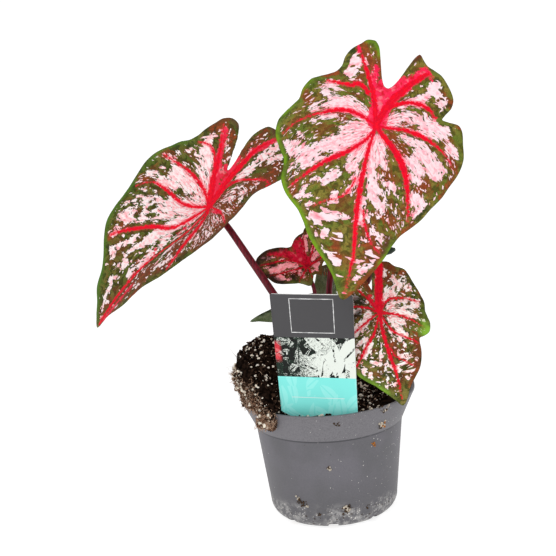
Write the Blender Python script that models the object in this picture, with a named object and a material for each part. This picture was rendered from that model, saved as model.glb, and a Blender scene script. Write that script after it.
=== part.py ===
"""Potted caladium: a nursery pot, its potting mix and tuber, a plant label and the leaves.

All sizes are in millimetres and become metres when an object is made. The origin is the centre
of the pot's base, +Z is up, and the plant's front faces -Y.
"""
import math

import bmesh
import bpy
from mathutils import Matrix, Vector

MM = 0.001
GAP = 0.3

POT_HEIGHT = 87.0
RIM_RADIUS = 60.0
STEP_RADIUS = 51.0
STEP_HEIGHT = 66.0
STEP_LEDGE = 0.7
BASE_RADIUS = 44.0
BASE_ROUND = 11.0
POT_WALL = 1.2
RIM_BEAD = 0.6
POT_SIDES = 48
DRAIN_COUNT = 8
DRAIN_FIRST_ANGLE = -50.0
DRAIN_WIDTH = 7.0
DRAIN_HEIGHT = 4.5
DRAIN_REACH = 40.0

SOIL_LEVEL = 84.0
WALL_CUT_START = 40.0
CLOD_DETAIL = 2
TUBER_CENTRE = (1.0, 1.0, 58.0)
TUBER_RADII = (19.0, 18.0, 14.0)
HOLE_RUN = 4.0
HOLE_TOP = 128.0
PATH_STEPS = 2

CARD_THICKNESS = 0.7
CARD_TOP_LEFT = (-34.5, -38.0, 167.3)
CARD_TOP_RIGHT = (19.3, -49.0, 165.0)
CARD_LOW_LEFT = (-32.5, -42.0, 87.3)
CARD_LOW_RIGHT = (17.4, -52.0, 84.4)
STAKE_WIDTH = 14.0
SHOULDER_DROP = 9.0
STAKE_RUN = (0.0, 5.0, -34.0)

BLADE_THICKNESS = 0.7
RIB_DEPTH = 0.8
NET_THICKNESS = 0.6
NET_CROWN = 0.25
FOLD_SOFTNESS = 4.0
RISE_SOFTNESS = 10.0
BIG_RINGS = (0.09, 0.18, 0.29, 0.41, 0.54, 0.67, 0.79, 0.9, 1.0)
MIDDLE_RINGS = (0.12, 0.25, 0.40, 0.55, 0.70, 0.85, 1.0)
SMALL_RINGS = (0.15, 0.34, 0.54, 0.74, 0.89, 1.0)
HUB_RINGS = 1

# Colour and roughness of each material. Nothing here is metal.
FINISHES = {
    "pot_plastic": ((0.135, 0.135, 0.145, 1), 0.55),
    "potting_mix": ((0.030, 0.020, 0.014, 1), 0.95),
    "tuber_skin": ((0.090, 0.050, 0.028, 1), 0.90),
    "label_card": ((0.105, 0.110, 0.120, 1), 0.45),
    "variegated_blade": ((0.420, 0.210, 0.180, 1), 0.50),
    "red_veins": ((0.620, 0.012, 0.045, 1), 0.45),
    "green_blade": ((0.050, 0.105, 0.038, 1), 0.45),
    "petiole_skin": ((0.130, 0.010, 0.020, 1), 0.40),
}

# Every leaf gives its junction, where the petiole meets the blade, its tip, and the way its upper
# face looks. The margin is (angle, reach) about the junction: 0 degrees is the tip, and 90 is the
# right side seen from above with the tip down. A vein gives its angle at five even steps from the
# junction to the margin, the share of the reach where it starts and ends, and its widest width.
# A vein of no width is only a line of the surface, as at the notch.
FRONT_LEAF = {
    "neck": 3.0,
    "rings": BIG_RINGS,
    "junction": (42.8, -22.0, 269.3), "tip": (11.1, -70.0, 166.3), "faces": (0.0, -0.90, 0.40),
    "arch": 8.0, "fold": 0.0, "droop": 6.0, "half": 70.0, "rise": -0.05, "twist": 0.0,
    "wave": (2.0, 7, 60.0), "wave_reach": 62.0,
    "margin": (
        (0, 118), (3, 109), (5.5, 103), (9.5, 97), (14, 88), (18, 81), (22.5, 76), (28, 73),
        (35, 70), (43, 66.5), (51, 65), (60, 63), (70, 62.5), (80, 61.5), (90, 58.5), (98, 57),
        (102.5, 54.5), (105, 48), (107.5, 44), (111, 46.5), (116, 52), (123, 55.5), (131, 56.5),
        (139, 57), (146, 55.5), (151, 54.5), (156, 56), (160, 58), (162, 54), (163, 48),
        (165, 37), (169, 30), (174, 27.5), (179, 28.5), (183.5, 34), (186, 44), (188, 56),
        (191, 60.5), (195, 61), (200, 58.5), (207, 56), (213, 52.5), (219, 47.5), (224, 46.5),
        (230, 48), (237, 51.5), (243, 54.5), (251, 55), (259, 54), (265, 56.5), (271, 60.5),
        (277, 64.5), (285, 66), (293, 65), (301, 64.5), (306, 67), (312, 72.5), (320, 75.5),
        (328, 76.5), (334, 80), (340, 86.5), (346, 92.5), (351, 98), (355, 105)),
    "veins": (
        ((-8, -5, -2, 1, 0), 0.0, 0.97, 3.2),
        ((-2, 0, 2, 7, 14), 0.52, 0.93, 1.6),
        ((44, 46, 42, 33, 26), 0.0, 0.93, 2.8),
        ((91, 94, 89, 80, 68), 0.0, 0.93, 2.8),
        ((155, 156, 137, 115, 107), 0.27, 0.90, 2.2),
        ((169, 163, 156, 151, 146), 0.0, 0.93, 4.0),
        ((174, 171, 167, 163, 160), 0.0, 1.0, 0.0),
        ((180, 178, 176, 175, 175), 0.0, 1.0, 0.0),
        ((186, 186, 187, 188, 189), 0.0, 1.0, 0.0),
        ((193, 193, 197, 200, 202), 0.0, 0.93, 3.4),
        ((204, 201, 206, 224, 243), 0.40, 0.90, 2.2),
        ((238, 244, 256, 273, 290), 0.0, 0.93, 2.8),
        ((322, 328, 319, 317, 318), 0.0, 0.93, 2.4),
        ((345, 349, 349, 337, 331), 0.40, 0.85, 1.8)),
}
LEFT_LEAF = {
    "neck": 3.0,
    "rings": BIG_RINGS,
    "junction": (-70.7, 30.0, 214.4), "tip": (-153.8, -4.0, 143.6), "faces": (-0.45, -0.68, 0.58),
    "arch": 8.0, "fold": 16.0, "droop": 0.0, "half": 60.0, "rise": 0.25, "twist": 0.004,
    "wave": (2.0, 6, 20.0), "wave_reach": 60.0,
    "margin": (
        (0, 114), (2, 104), (6, 98.5), (10, 93), (12, 86), (15, 78), (19, 73), (23, 68.5),
        (28, 60.5), (34, 52.5), (41, 47), (49, 42), (58, 38.5), (67, 34), (77, 30.5), (88, 28),
        (102, 28.5), (116, 31), (126, 34.5), (131, 40), (133, 50), (135, 59), (141, 65.5),
        (150, 69), (160, 70), (170, 69), (178, 67), (182, 60), (185, 50), (186, 40), (187, 33),
        (190, 27.5), (193, 27), (193.5, 34), (193, 42), (193, 51), (196, 57.5), (201, 59),
        (207, 58), (213, 55), (221, 51.5), (229, 48), (236, 47), (244, 48.5), (252, 50),
        (260, 53.5), (268, 57.5), (276, 60), (284, 60.5), (293, 61), (301, 63), (309, 68),
        (317, 74.5), (325, 78.5), (332, 82), (338, 87), (344, 96.5), (350, 102), (355, 108.5)),
    "veins": (
        ((14, 12, -1, -2, 0), 0.0, 0.97, 3.2),
        ((34, 29, 24, 24, 25), 0.0, 0.93, 2.2),
        ((96, 95, 90, 84, 78), 0.0, 0.93, 2.4),
        ((175, 176, 152, 138, 131), 0.0, 0.90, 2.0),
        ((198, 187, 179, 175, 166), 0.0, 0.93, 3.2),
        ((208, 202, 196, 192, 190), 0.0, 1.0, 0.0),
        ((221, 215, 209, 207, 206), 0.0, 0.93, 3.6),
        ((229, 222, 213, 217, 236), 0.52, 0.92, 1.8),
        ((244, 241, 248, 257, 263), 0.0, 0.93, 2.6),
        ((315, 306, 290, 285, 296), 0.0, 0.93, 2.6),
        ((348, 347, 332, 326, 324), 0.0, 0.93, 2.4)),
}
LOW_LEAF = {
    "neck": 2.0,
    "rings": MIDDLE_RINGS,
    "junction": (37.5, -30.0, 145.8), "tip": (47.8, -50.0, 86.8), "faces": (0.0, -0.93, 0.30),
    "arch": 5.0, "fold": 0.0, "droop": 5.0, "half": 45.0, "rise": 0.0, "twist": 0.0,
    "wave": (2.0, 6, 0.0), "wave_reach": 35.0,
    "margin": (
        (0, 63), (4, 59), (7, 54), (11, 50.5), (16, 47.5), (22, 44.5), (29, 40), (35, 36),
        (40, 32.5), (44, 31), (49, 33), (56, 35), (64, 34), (72, 31.5), (80, 30), (90, 30.5),
        (101, 30), (111, 30), (120, 30.5), (129, 32), (138, 33.5), (148, 33), (158, 35),
        (167, 34.5), (172, 31), (176, 23.5), (182, 17.5), (189, 14.5), (195, 18), (202, 27),
        (210, 33), (220, 34), (232, 32), (245, 29.5), (258, 28.5), (272, 29), (286, 30.5),
        (298, 33), (309, 37), (318, 41), (327, 44.5), (335, 46.5), (342, 48.5), (349, 52.5),
        (356, 58.5)),
    "veins": (
        ((-11, -5, -1, 1, 0), 0.0, 0.96, 2.6),
        ((-3, 1, 4, 14, 21), 0.40, 0.90, 1.3),
        ((16, 19, 29, 36, 38), 0.0, 0.92, 1.9),
        ((76, 73, 67, 61, 55), 0.0, 0.92, 2.1),
        ((146, 139, 118, 100, 88), 0.0, 0.92, 2.1),
        ((174, 171, 169, 167, 165), 0.0, 0.92, 2.8),
        ((190, 190, 190, 189, 189), 0.0, 1.0, 0.0),
        ((206, 204, 207, 210, 213), 0.0, 0.90, 2.0),
        ((232, 232, 240, 246, 250), 0.0, 0.90, 1.7),
        ((280, 287, 292, 294, 296), 0.0, 0.92, 2.0),
        ((328, 330, 325, 323, 322), 0.0, 0.92, 2.1)),
}
BACK_LEAF = {
    "neck": 2.0,
    "rings": SMALL_RINGS,
    "junction": (-6.5, 22.0, 168.7), "tip": (-42.0, 18.0, 174.7), "faces": (-0.10, -0.85, 0.50),
    "arch": 3.0, "fold": 0.0, "droop": 4.0, "half": 30.0, "rise": 0.0, "twist": 0.0,
    "wave": (1.0, 5, 40.0), "wave_reach": 28.0,
    "margin": (
        (0, 36.5), (5, 35), (10, 33.5), (16, 31.5), (22, 29.5), (30, 27), (37, 23.5),
        (45, 19.5), (54, 16.5), (66, 14), (80, 13.5), (95, 14), (105, 13.5), (118, 10.5),
        (140, 8.5), (165, 8.5), (185, 9.5), (200, 12), (212, 20), (224, 27), (236, 32),
        (248, 33.5), (260, 32), (268, 30.5), (274, 28.5), (278, 25), (288, 23), (298, 21),
        (306, 19), (313, 18), (320, 19), (328, 23), (335, 27), (342, 31), (349, 34), (355, 36)),
    "veins": (
        ((-24, -21, -8, 1, 2), 0.0, 0.94, 2.2),
        ((21, 21, 20, 19, 19), 0.0, 0.92, 1.8),
        ((62, 62, 62, 62, 62), 0.0, 0.90, 1.6),
        ((112, 112, 112, 112, 112), 0.0, 0.85, 1.4),
        ((166, 166, 166, 166, 166), 0.0, 1.0, 0.0),
        ((212, 214, 219, 224, 228), 0.0, 0.90, 2.0),
        ((254, 254, 254, 253, 252), 0.0, 0.90, 1.7),
        ((291, 288, 284, 280, 277), 0.0, 0.90, 1.8)),
}
GREEN_LEAF = {
    "neck": 2.0,
    "rings": SMALL_RINGS,
    "junction": (1.8, 32.0, 144.0), "tip": (-50.0, 18.0, 134.0), "faces": (-0.20, -0.62, 0.75),
    "arch": 3.0, "fold": 12.0, "droop": 0.0, "half": 20.0, "rise": 0.0, "twist": 0.0,
    "wave": (0.6, 5, 0.0), "wave_reach": 25.0,
    "margin": (
        (0, 54), (4, 49), (8, 46), (14, 42), (22, 35.5), (33, 27), (50, 19), (80, 14), (110, 13),
        (135, 14), (155, 13), (172, 11), (185, 12), (196, 16), (207, 20), (218, 21), (230, 19.5),
        (250, 17), (262, 16), (275, 14), (290, 11.5), (308, 10), (325, 12), (338, 16.5),
        (347, 24), (352, 31.5), (356, 40), (358, 47)),
    "veins": (
        ((0, 0, 0, 0, 0), 0.0, 1.0, 1.2),
        ((50, 48, 44, 38, 34), 0.0, 1.0, 0.0),
        ((115, 115, 115, 115, 115), 0.0, 1.0, 0.0),
        ((180, 180, 180, 180, 180), 0.0, 1.0, 0.0),
        ((235, 235, 235, 235, 235), 0.0, 1.0, 0.0),
        ((290, 294, 306, 322, 335), 0.0, 1.0, 0.0)),
}

# A stalk rises from the tuber through these points; the two radii are at its foot and its head.
STALKS = {
    "front_petiole": (((3.5, -5.5, 74.5), (4.5, -4.0, 105.0), (4.5, 1.0, 135.0),
                       (7.0, 3.0, 161.0), (16.0, 2.0, 200.0), (31.0, -5.0, 240.0)), 2.5, 1.7),
    "left_petiole": (((-5.5, -0.5, 75.0), (-9.0, 0.5, 105.0), (-19.0, 2.5, 132.0),
                      (-32.7, 7.0, 156.8), (-46.0, 14.0, 179.0), (-59.3, 22.0, 200.5)), 3.0, 1.9),
    "low_petiole": (((9.5, -0.5, 73.5), (12.0, -1.5, 98.0), (17.5, -4.0, 118.0),
                     (25.0, -10.0, 133.0), (33.0, -18.0, 141.5)), 1.8, 1.3),
    "back_petiole": (((-3.5, 6.0, 74.5), (-4.0, 8.0, 105.0), (-3.5, 9.5, 130.0),
                      (-3.4, 13.0, 144.0), (-3.8, 18.0, 154.5)), 1.6, 1.2),
    "green_petiole": (((2.5, 8.0, 73.5), (4.0, 15.0, 100.0), (4.0, 26.0, 122.0)), 1.4, 1.1),
}
NEW_LEAF_STEM = ((7.0, 5.5, 73.5), (12.5, 8.0, 104.0), (22.5, 9.5, 135.0), (32.5, 10.0, 155.0))
NEW_LEAF_ROLL = ((32.9, 10.1, 155.6), (38.5, 11.0, 163.0), (46.0, 12.5, 172.0), (54.3, 14.0, 180.5))
ROLL_RADII = (1.5, 2.3, 2.8, 3.0, 3.0, 2.5, 0.9)

# Clods of potting mix: centre, radii and a number that varies the bumps.
CLODS = (
    ((-36.0, 2.0, 100.0), (26.0, 28.0, 27.0), 1),
    ((-48.0, -9.0, 103.0), (15.5, 20.0, 17.5), 2),
    ((-43.5, -30.0, 93.0), (15.0, 18.0, 14.5), 3),
    ((-43.5, -44.5, 83.0), (8.5, 8.0, 12.0), 4),
    ((-14.0, 8.0, 92.0), (26.0, 30.0, 20.0), 5),
    ((-42.0, 26.0, 93.0), (17.0, 18.0, 17.0), 6),
    ((12.0, 4.0, 84.0), (26.0, 30.0, 13.0), 7),
)


def clear_scene():
    for obj in list(bpy.data.objects):
        bpy.data.objects.remove(obj, do_unlink=True)


def material(name):
    found = bpy.data.materials.get(name)
    if found is None:
        colour, roughness = FINISHES[name]
        found = bpy.data.materials.new(name)
        found.diffuse_color = colour
        found.use_nodes = True
        shader = found.node_tree.nodes["Principled BSDF"]
        shader.inputs["Base Color"].default_value = colour
        shader.inputs["Roughness"].default_value = roughness
        shader.inputs["Metallic"].default_value = 0.0
    return found


def make_object(name, verts, faces, colour):
    """Make one object from millimetre points, with its faces turned outwards."""
    mesh = bpy.data.meshes.new(name)
    bm = bmesh.new()
    placed = [bm.verts.new(Vector(v) * MM) for v in verts]
    for face in faces:
        bm.faces.new([placed[i] for i in face])
    bmesh.ops.recalc_face_normals(bm, faces=bm.faces)
    bm.to_mesh(mesh)
    bm.free()
    mesh.materials.append(material(colour))
    obj = bpy.data.objects.new(name, mesh)
    bpy.context.collection.objects.link(obj)
    return obj


def combine(target, other, operation):
    """Apply one Boolean to target and take the other solid away."""
    step = target.modifiers.new(operation.lower(), "BOOLEAN")
    step.operation = operation
    step.solver = "EXACT"
    step.object = other
    bpy.context.view_layer.objects.active = target
    bpy.ops.object.modifier_apply(modifier=step.name)
    bpy.data.objects.remove(other, do_unlink=True)


def lathe(name, profile, colour, sides=POT_SIDES, ripple=None):
    """Turn a profile that starts and ends on the axis; ripple may lift a point."""
    verts = [(0, 0, profile[0][1])]
    for radius, height in profile[1:-1]:
        for k in range(sides):
            a = 2 * math.pi * (k + 0.5) / sides
            lift = ripple(radius, height, a) if ripple else 0.0
            verts.append((radius * math.sin(a), -radius * math.cos(a), height + lift))
    verts.append((0, 0, profile[-1][1]))
    faces = []
    last = len(profile) - 3
    for k in range(sides):
        n = (k + 1) % sides
        faces.append((0, 1 + n, 1 + k))
        for r in range(last):
            low, high = 1 + r * sides, 1 + (r + 1) * sides
            faces.append((low + k, low + n, high + n, high + k))
        faces.append((1 + last * sides + k, 1 + last * sides + n, len(verts) - 1))
    return make_object(name, verts, faces, colour)


def body_radius(height):
    """Outer radius of the pot's body between its rounded foot and the step."""
    share = (height - BASE_ROUND) / (STEP_HEIGHT - BASE_ROUND)
    return BASE_RADIUS + (STEP_RADIUS - STEP_LEDGE - BASE_RADIUS) * share


def pot_wall(grow):
    """Outer and inner profiles of the pot, each pushed out of the wall by grow."""
    foot = BASE_RADIUS - BASE_ROUND
    outer = [(0, -grow), (foot, -grow)]
    for turn in (30, 60, 90):
        a = math.radians(turn)
        outer.append((foot + (BASE_ROUND + grow) * math.sin(a),
                      BASE_ROUND - (BASE_ROUND + grow) * math.cos(a)))
    outer += [(body_radius(STEP_HEIGHT) + grow, STEP_HEIGHT - grow),
              (STEP_RADIUS + grow, STEP_HEIGHT - grow),
              (RIM_RADIUS - RIM_BEAD + grow, POT_HEIGHT - 2.2 - grow),
              (RIM_RADIUS + grow, POT_HEIGHT - 1.9 - grow),
              (RIM_RADIUS + grow, POT_HEIGHT + grow)]
    inner = [(RIM_RADIUS - RIM_BEAD - POT_WALL - grow, POT_HEIGHT + grow),
             (STEP_RADIUS - POT_WALL - grow, STEP_HEIGHT + 1.0 + grow),
             (body_radius(STEP_HEIGHT) - POT_WALL - grow, STEP_HEIGHT - 0.5)]
    for turn in (90, 60, 30, 0):
        a = math.radians(turn)
        reach = BASE_ROUND - POT_WALL - grow
        inner.append((foot + reach * math.sin(a), BASE_ROUND - reach * math.cos(a)))
    inner.append((0, POT_WALL + grow))
    return outer, inner


def box(name, size, place, turn, colour):
    hx, hy, hz = (s / 2 for s in size)
    spin = Matrix.Rotation(turn, 3, "Z")
    verts = [spin @ Vector((x, y, z)) + Vector(place)
             for x in (-hx, hx) for y in (-hy, hy) for z in (-hz, hz)]
    faces = [(0, 1, 3, 2), (4, 6, 7, 5), (0, 4, 5, 1), (2, 3, 7, 6), (0, 2, 6, 4), (1, 5, 7, 3)]
    return make_object(name, verts, faces, colour)


def make_pot():
    outer, inner = pot_wall(0.0)
    pot = lathe("pot", outer + inner, "pot_plastic")
    for k in range(DRAIN_COUNT):
        a = math.radians(DRAIN_FIRST_ANGLE + k * 360.0 / DRAIN_COUNT)
        place = (DRAIN_REACH * math.sin(a), -DRAIN_REACH * math.cos(a), DRAIN_HEIGHT / 2 - 1.0)
        slot = box("drain_cutter", (DRAIN_WIDTH, 16.0, DRAIN_HEIGHT + 2.0), place, a, "pot_plastic")
        combine(pot, slot, "DIFFERENCE")
    return pot


def clod(centre, radii, seed, colour):
    """One lump of potting mix: a bumpy ball."""
    bm = bmesh.new()
    bmesh.ops.create_icosphere(bm, subdivisions=CLOD_DETAIL, radius=1.0)
    verts = []
    for v in bm.verts:
        d = v.co.normalized()
        bump = (math.sin(5.1 * d.x + 2.3 * seed) * math.sin(4.3 * d.y - 1.7 * seed)
                + 0.7 * math.sin(8.7 * d.z + 6.1 * d.x + seed) * math.cos(7.3 * d.y + 0.9 * seed))
        grow = 1.0 + 0.055 * bump
        verts.append([c + r * x * grow for c, r, x in zip(centre, radii, d)])
    faces = [[v.index for v in f.verts] for f in bm.faces]
    bm.free()
    return make_object("clod_%d" % seed, verts, faces, colour)


def soil_ripple(radius, height, a):
    if height < SOIL_LEVEL - 2:
        return 0.0
    return 1.1 * math.sin(radius * 0.21 + 2.0 * a) + 0.8 * math.sin(radius * 0.43 - 3.0 * a)


def make_soil():
    _, inner = pot_wall(GAP)
    inside = list(reversed(inner))
    top_radius = inner[1][0] + (inner[0][0] - inner[1][0]) * (SOIL_LEVEL - inner[1][1]) / (
        inner[0][1] - inner[1][1])
    profile = inside[:-1] + [(top_radius - 0.4, SOIL_LEVEL - 2.5), (48.0, SOIL_LEVEL - 0.5),
                             (36.0, SOIL_LEVEL + 0.8), (20.0, SOIL_LEVEL + 0.5),
                             (0, SOIL_LEVEL + 1.0)]
    soil = lathe("potting_mix", profile, "potting_mix", sides=32, ripple=soil_ripple)
    for centre, radii, seed in CLODS:
        combine(soil, clod(centre, radii, seed, "potting_mix"), "UNION")
    return soil


def cut_wall(soil):
    """Take the pot's wall, and a small gap around it, out of the mix."""
    outer, inner = pot_wall(GAP)
    start = WALL_CUT_START
    rim = [(body_radius(start) + GAP, start)]
    rim += [p for p in outer + inner if p[1] > start]
    rim.append((body_radius(start) - POT_WALL - GAP, start))
    sides = POT_SIDES
    verts, faces = [], []
    for radius, height in rim:
        for k in range(sides):
            a = 2 * math.pi * (k + 0.5) / sides
            verts.append((radius * math.sin(a), -radius * math.cos(a), height))
    count = len(rim)
    for r in range(count):
        low, high = r * sides, ((r + 1) % count) * sides
        for k in range(sides):
            n = (k + 1) % sides
            faces.append((low + k, low + n, high + n, high + k))
    combine(soil, make_object("wall_cutter", verts, faces, "potting_mix"), "DIFFERENCE")


def make_ball(name, centre, radii, grow, colour):
    bm = bmesh.new()
    bmesh.ops.create_icosphere(bm, subdivisions=2, radius=1.0)
    verts = []
    for v in bm.verts:
        d = v.co.normalized()
        ridge = 1.0 + 0.03 * math.sin(9.0 * d.z)
        verts.append([c + (r + grow) * x * ridge for c, r, x in zip(centre, radii, d)])
    faces = [[v.index for v in f.verts] for f in bm.faces]
    bm.free()
    return make_object(name, verts, faces, colour)


def smooth_path(points, steps):
    """Points on a curve that passes through every given point."""
    pts = [Vector(p) for p in points]
    pts = [2 * pts[0] - pts[1]] + pts + [2 * pts[-1] - pts[-2]]
    path = []
    for i in range(1, len(pts) - 2):
        p0, p1, p2, p3 = pts[i - 1:i + 3]
        for k in range(steps):
            t = k / steps
            path.append(0.5 * (2 * p1 + (p2 - p0) * t + (2 * p0 - 5 * p1 + 4 * p2 - p3) * t * t
                               + (3 * p1 - p0 - 3 * p2 + p3) * t * t * t))
    path.append(pts[-2])
    return path


def tube(name, path, radii, colour, sides=10):
    """A round stalk along a path; radii has one radius for each point of it."""
    verts, faces = [], []
    side = Vector((1, 0, 0))
    for i, point in enumerate(path):
        ahead = path[min(i + 1, len(path) - 1)] - path[max(i - 1, 0)]
        ahead.normalize()
        side = (side - ahead * side.dot(ahead)).normalized()
        other = ahead.cross(side)
        for k in range(sides):
            a = 2 * math.pi * k / sides
            verts.append(point + radii[i] * (math.cos(a) * side + math.sin(a) * other))
    for i in range(len(path) - 1):
        for k in range(sides):
            n = (k + 1) % sides
            faces.append((i * sides + k, i * sides + n, (i + 1) * sides + n, (i + 1) * sides + k))
    faces.append(tuple(range(sides)))
    faces.append(tuple(range((len(path) - 1) * sides, len(path) * sides)))
    return make_object(name, verts, faces, colour)


def leaf_axes(leaf):
    """Junction, sideways, tipward and upward axes of a leaf, and its length."""
    start, tip = Vector(leaf["junction"]), Vector(leaf["tip"])
    along = (tip - start).normalized()
    faces = Vector(leaf["faces"])
    up = (faces - along * faces.dot(along)).normalized()
    return start, up.cross(along), along, up, (tip - start).length


def leaf_height(leaf, length, a, b):
    """How far the blade stands off the flat plane through its junction and tip."""
    root = math.hypot(b, RISE_SOFTNESS)
    s, back = (root + b) / 2 / length, (root - b) / 2
    s0 = RISE_SOFTNESS / 2 / length
    along = 4 * leaf["arch"] * (s * (1 - s) - s0 * (1 - s0))
    along += leaf["rise"] * (back - RISE_SOFTNESS / 2)
    across = math.tan(math.radians(leaf["fold"])) * (math.hypot(a, FOLD_SOFTNESS) - FOLD_SOFTNESS)
    across += leaf["twist"] * a * b - leaf["droop"] * (a / leaf["half"]) ** 2
    size, count, phase = leaf["wave"]
    edge = min(1.0, math.hypot(a, b) / leaf["wave_reach"]) ** 3
    return along + across + size * edge * math.sin(count * math.atan2(a, b) + math.radians(phase))


def leaf_point(leaf, axes, angle, reach, offset):
    """The point at an angle and reach on the blade, moved off its upper face by offset."""
    start, side, along, up, length = axes
    a = reach * math.sin(math.radians(angle))
    b = reach * math.cos(math.radians(angle))
    d = 0.5
    slope_a = leaf_height(leaf, length, a + d, b) - leaf_height(leaf, length, a - d, b)
    slope_b = leaf_height(leaf, length, a, b + d) - leaf_height(leaf, length, a, b - d)
    normal = (up - slope_a * side - slope_b * along).normalized()
    return start + a * side + b * along + leaf_height(leaf, length, a, b) * up + offset * normal


def margin_reach(leaf, angle):
    angle = angle % 360
    points = leaf["margin"] + ((360, leaf["margin"][0][1]),)
    for (a0, r0), (a1, r1) in zip(points, points[1:]):
        if a0 <= angle <= a1:
            return r0 + (r1 - r0) * (angle - a0) / (a1 - a0)
    return points[-1][1]


def vein_angle(angles, t):
    """A vein's angle at the share t of the reach, smooth through its five angles."""
    x = min(max(t, 0.0), 1.0) * 4
    i = min(int(x), 3)
    f = x - i
    p1, p2 = angles[i], angles[i + 1]
    p0 = angles[i - 1] if i > 0 else 2 * p1 - p2
    p3 = angles[i + 2] if i < 3 else 2 * p2 - p1
    return 0.5 * (2 * p1 + (p2 - p0) * f + (2 * p0 - 5 * p1 + 4 * p2 - p3) * f * f
                  + (3 * p1 - p0 - 3 * p2 + p3) * f * f * f)


def leaf_columns(leaf, spacing):
    """Kinds of column round the leaf: (vein number, -1, 0 or 1) or (vein number, share)."""
    columns = []
    veins = leaf["veins"]
    for i, vein in enumerate(veins):
        columns += [("vein", i, s) for s in ((-1, 0, 1) if vein[3] else (0,))]
        following = veins[(i + 1) % len(veins)]
        gap = (following[0][4] - vein[0][4]) % 360
        fills = max(1, round(gap / spacing) - 1)
        columns += [("fill", i, (k + 1) / (fills + 1)) for k in range(fills)]
    return columns


def column_angle(leaf, column, t):
    """Angle of a column at the share t of the reach."""
    veins = leaf["veins"]

    def flank(i, sign):
        here = vein_angle(veins[i][0], t)
        width = veins[i][3] * (1 - 0.6 * t)
        reach = max(t, leaf["rings"][0]) * margin_reach(leaf, here)
        beside = vein_angle(veins[(i + sign) % len(veins)][0], t)
        gap = abs((beside - here + 180) % 360 - 180)
        return here, sign * min(math.degrees(width / 2 / reach), 0.34 * gap)

    kind, i, share = column
    if kind == "vein":
        here, shift = flank(i, share or 1)
        return here + (shift if share else 0.0)
    here, shift = flank(i, 1)
    after, back = flank((i + 1) % len(veins), -1)
    low = here + (shift if veins[i][3] else 0.0)
    high = after + (back if veins[(i + 1) % len(veins)][3] else 0.0)
    return low + ((high - low) % 360) * share


def make_leaf(name, leaf, blade_colour, spacing, net_colour=None):
    """Make a leaf's blade, with ribs below its veins, and the raised net of its veins."""
    axes = leaf_axes(leaf)
    columns = leaf_columns(leaf, spacing)
    count = len(columns)
    places = []
    rings = leaf["rings"]
    for t in rings:
        ring = []
        for column in columns:
            angle = column_angle(leaf, column, t)
            ring.append((angle, t * margin_reach(leaf, angle)))
        places.append(ring)

    def rib(ring, c):
        kind, i, share = columns[c]
        if kind == "vein" and share == 0 and leaf["veins"][i][3]:
            return RIB_DEPTH * (1 - rings[ring]) ** 0.7
        return 0.0

    top = [leaf_point(leaf, axes, 0, 0, 0)]
    under = [leaf_point(leaf, axes, 0, 0, -BLADE_THICKNESS - RIB_DEPTH)]
    for r, ring in enumerate(places):
        for c, (angle, reach) in enumerate(ring):
            top.append(leaf_point(leaf, axes, angle, reach, 0))
            depth = BLADE_THICKNESS + rib(r, c)
            under.append(leaf_point(leaf, axes, angle, reach, -depth))
    shift = len(top)
    faces = []
    for r in range(len(rings)):
        for c in range(count):
            n = (c + 1) % count
            for half in cell_halves(r, c, n, count):
                faces.append(half)
                faces.append(tuple(shift + v for v in reversed(half)))
    rim = 1 + (len(rings) - 1) * count
    for c in range(count):
        n = (c + 1) % count
        faces.append((rim + c, shift + rim + c, shift + rim + n))
        faces.append((rim + c, shift + rim + n, rim + n))
    blade = make_object(name + "_blade", top + under, faces, blade_colour)
    if net_colour:
        make_net(name, leaf, axes, columns, places, net_colour)
    return blade


def cell_halves(r, c, n, count):
    """The two triangles of the cell between ring r-1 and ring r; the innermost has one."""
    if r == 0:
        return [(0, 1 + c, 1 + n)]
    low, high = 1 + (r - 1) * count, 1 + r * count
    return [(low + c, high + c, high + n), (low + c, high + n, low + n)]


def make_net(name, leaf, axes, columns, places, colour):
    """The veins as one raised net, a small gap above the blade."""
    count = len(columns)
    rings = leaf["rings"]
    cells = {(r, c) for r in range(HUB_RINGS + 1) for c in range(count)}
    centres = {i: c for c, (kind, i, share) in enumerate(columns) if kind == "vein" and share == 0}
    main = {i for i, vein in enumerate(leaf["veins"]) if vein[3] and vein[1] == 0.0}
    for i, (angles, start, end, width) in enumerate(leaf["veins"]):
        if not width:
            continue
        c = centres[i]
        inner = (0.0,) + rings
        rows = [r for r in range(len(rings)) if inner[r] >= start - 0.03 and rings[r] <= end]
        cells |= {(r, k % count) for r in rows for k in (c - 1, c)}
        if i not in main:
            first = rows[0]
            veins = len(leaf["veins"])
            near = min(main, key=lambda m: min((m - i) % veins, (i - m) % veins))
            low, high = sorted((centres[near], c))
            span = range(low, high)
            if high - low > count / 2:
                span = list(range(high, count)) + list(range(low))
            cells |= {(first, k) for k in span}
    used = {}
    verts = []

    def vertex(index, level):
        key = (index, level)
        if key not in used:
            crown = 0.0
            if index == 0:
                angle, reach = 0, 0
                crown = NET_CROWN
            else:
                r, c = divmod(index - 1, count)
                angle, reach = places[r][c]
                if columns[c][0] == "vein" and columns[c][2] == 0 and leaf["veins"][columns[c][1]][3]:
                    crown = NET_CROWN
            lift = GAP + (NET_THICKNESS + crown if level else 0.0)
            used[key] = len(verts)
            verts.append(leaf_point(leaf, axes, angle, reach, lift))
        return used[key]

    halves = []
    for r, c in sorted(cells):
        halves += cell_halves(r, c, (c + 1) % count, count)
    edges = {}
    for half in halves:
        for a, b in zip(half, half[1:] + half[:1]):
            edges[(a, b)] = edges.get((a, b), 0) + 1
    faces = []
    for half in halves:
        faces.append(tuple(vertex(v, 1) for v in half))
        faces.append(tuple(vertex(v, 0) for v in reversed(half)))
    for a, b in edges:
        if (b, a) not in edges:
            faces.append((vertex(a, 1), vertex(a, 0), vertex(b, 0)))
            faces.append((vertex(a, 1), vertex(b, 0), vertex(b, 1)))
    return make_object(name + "_veins", verts, faces, colour)


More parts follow.
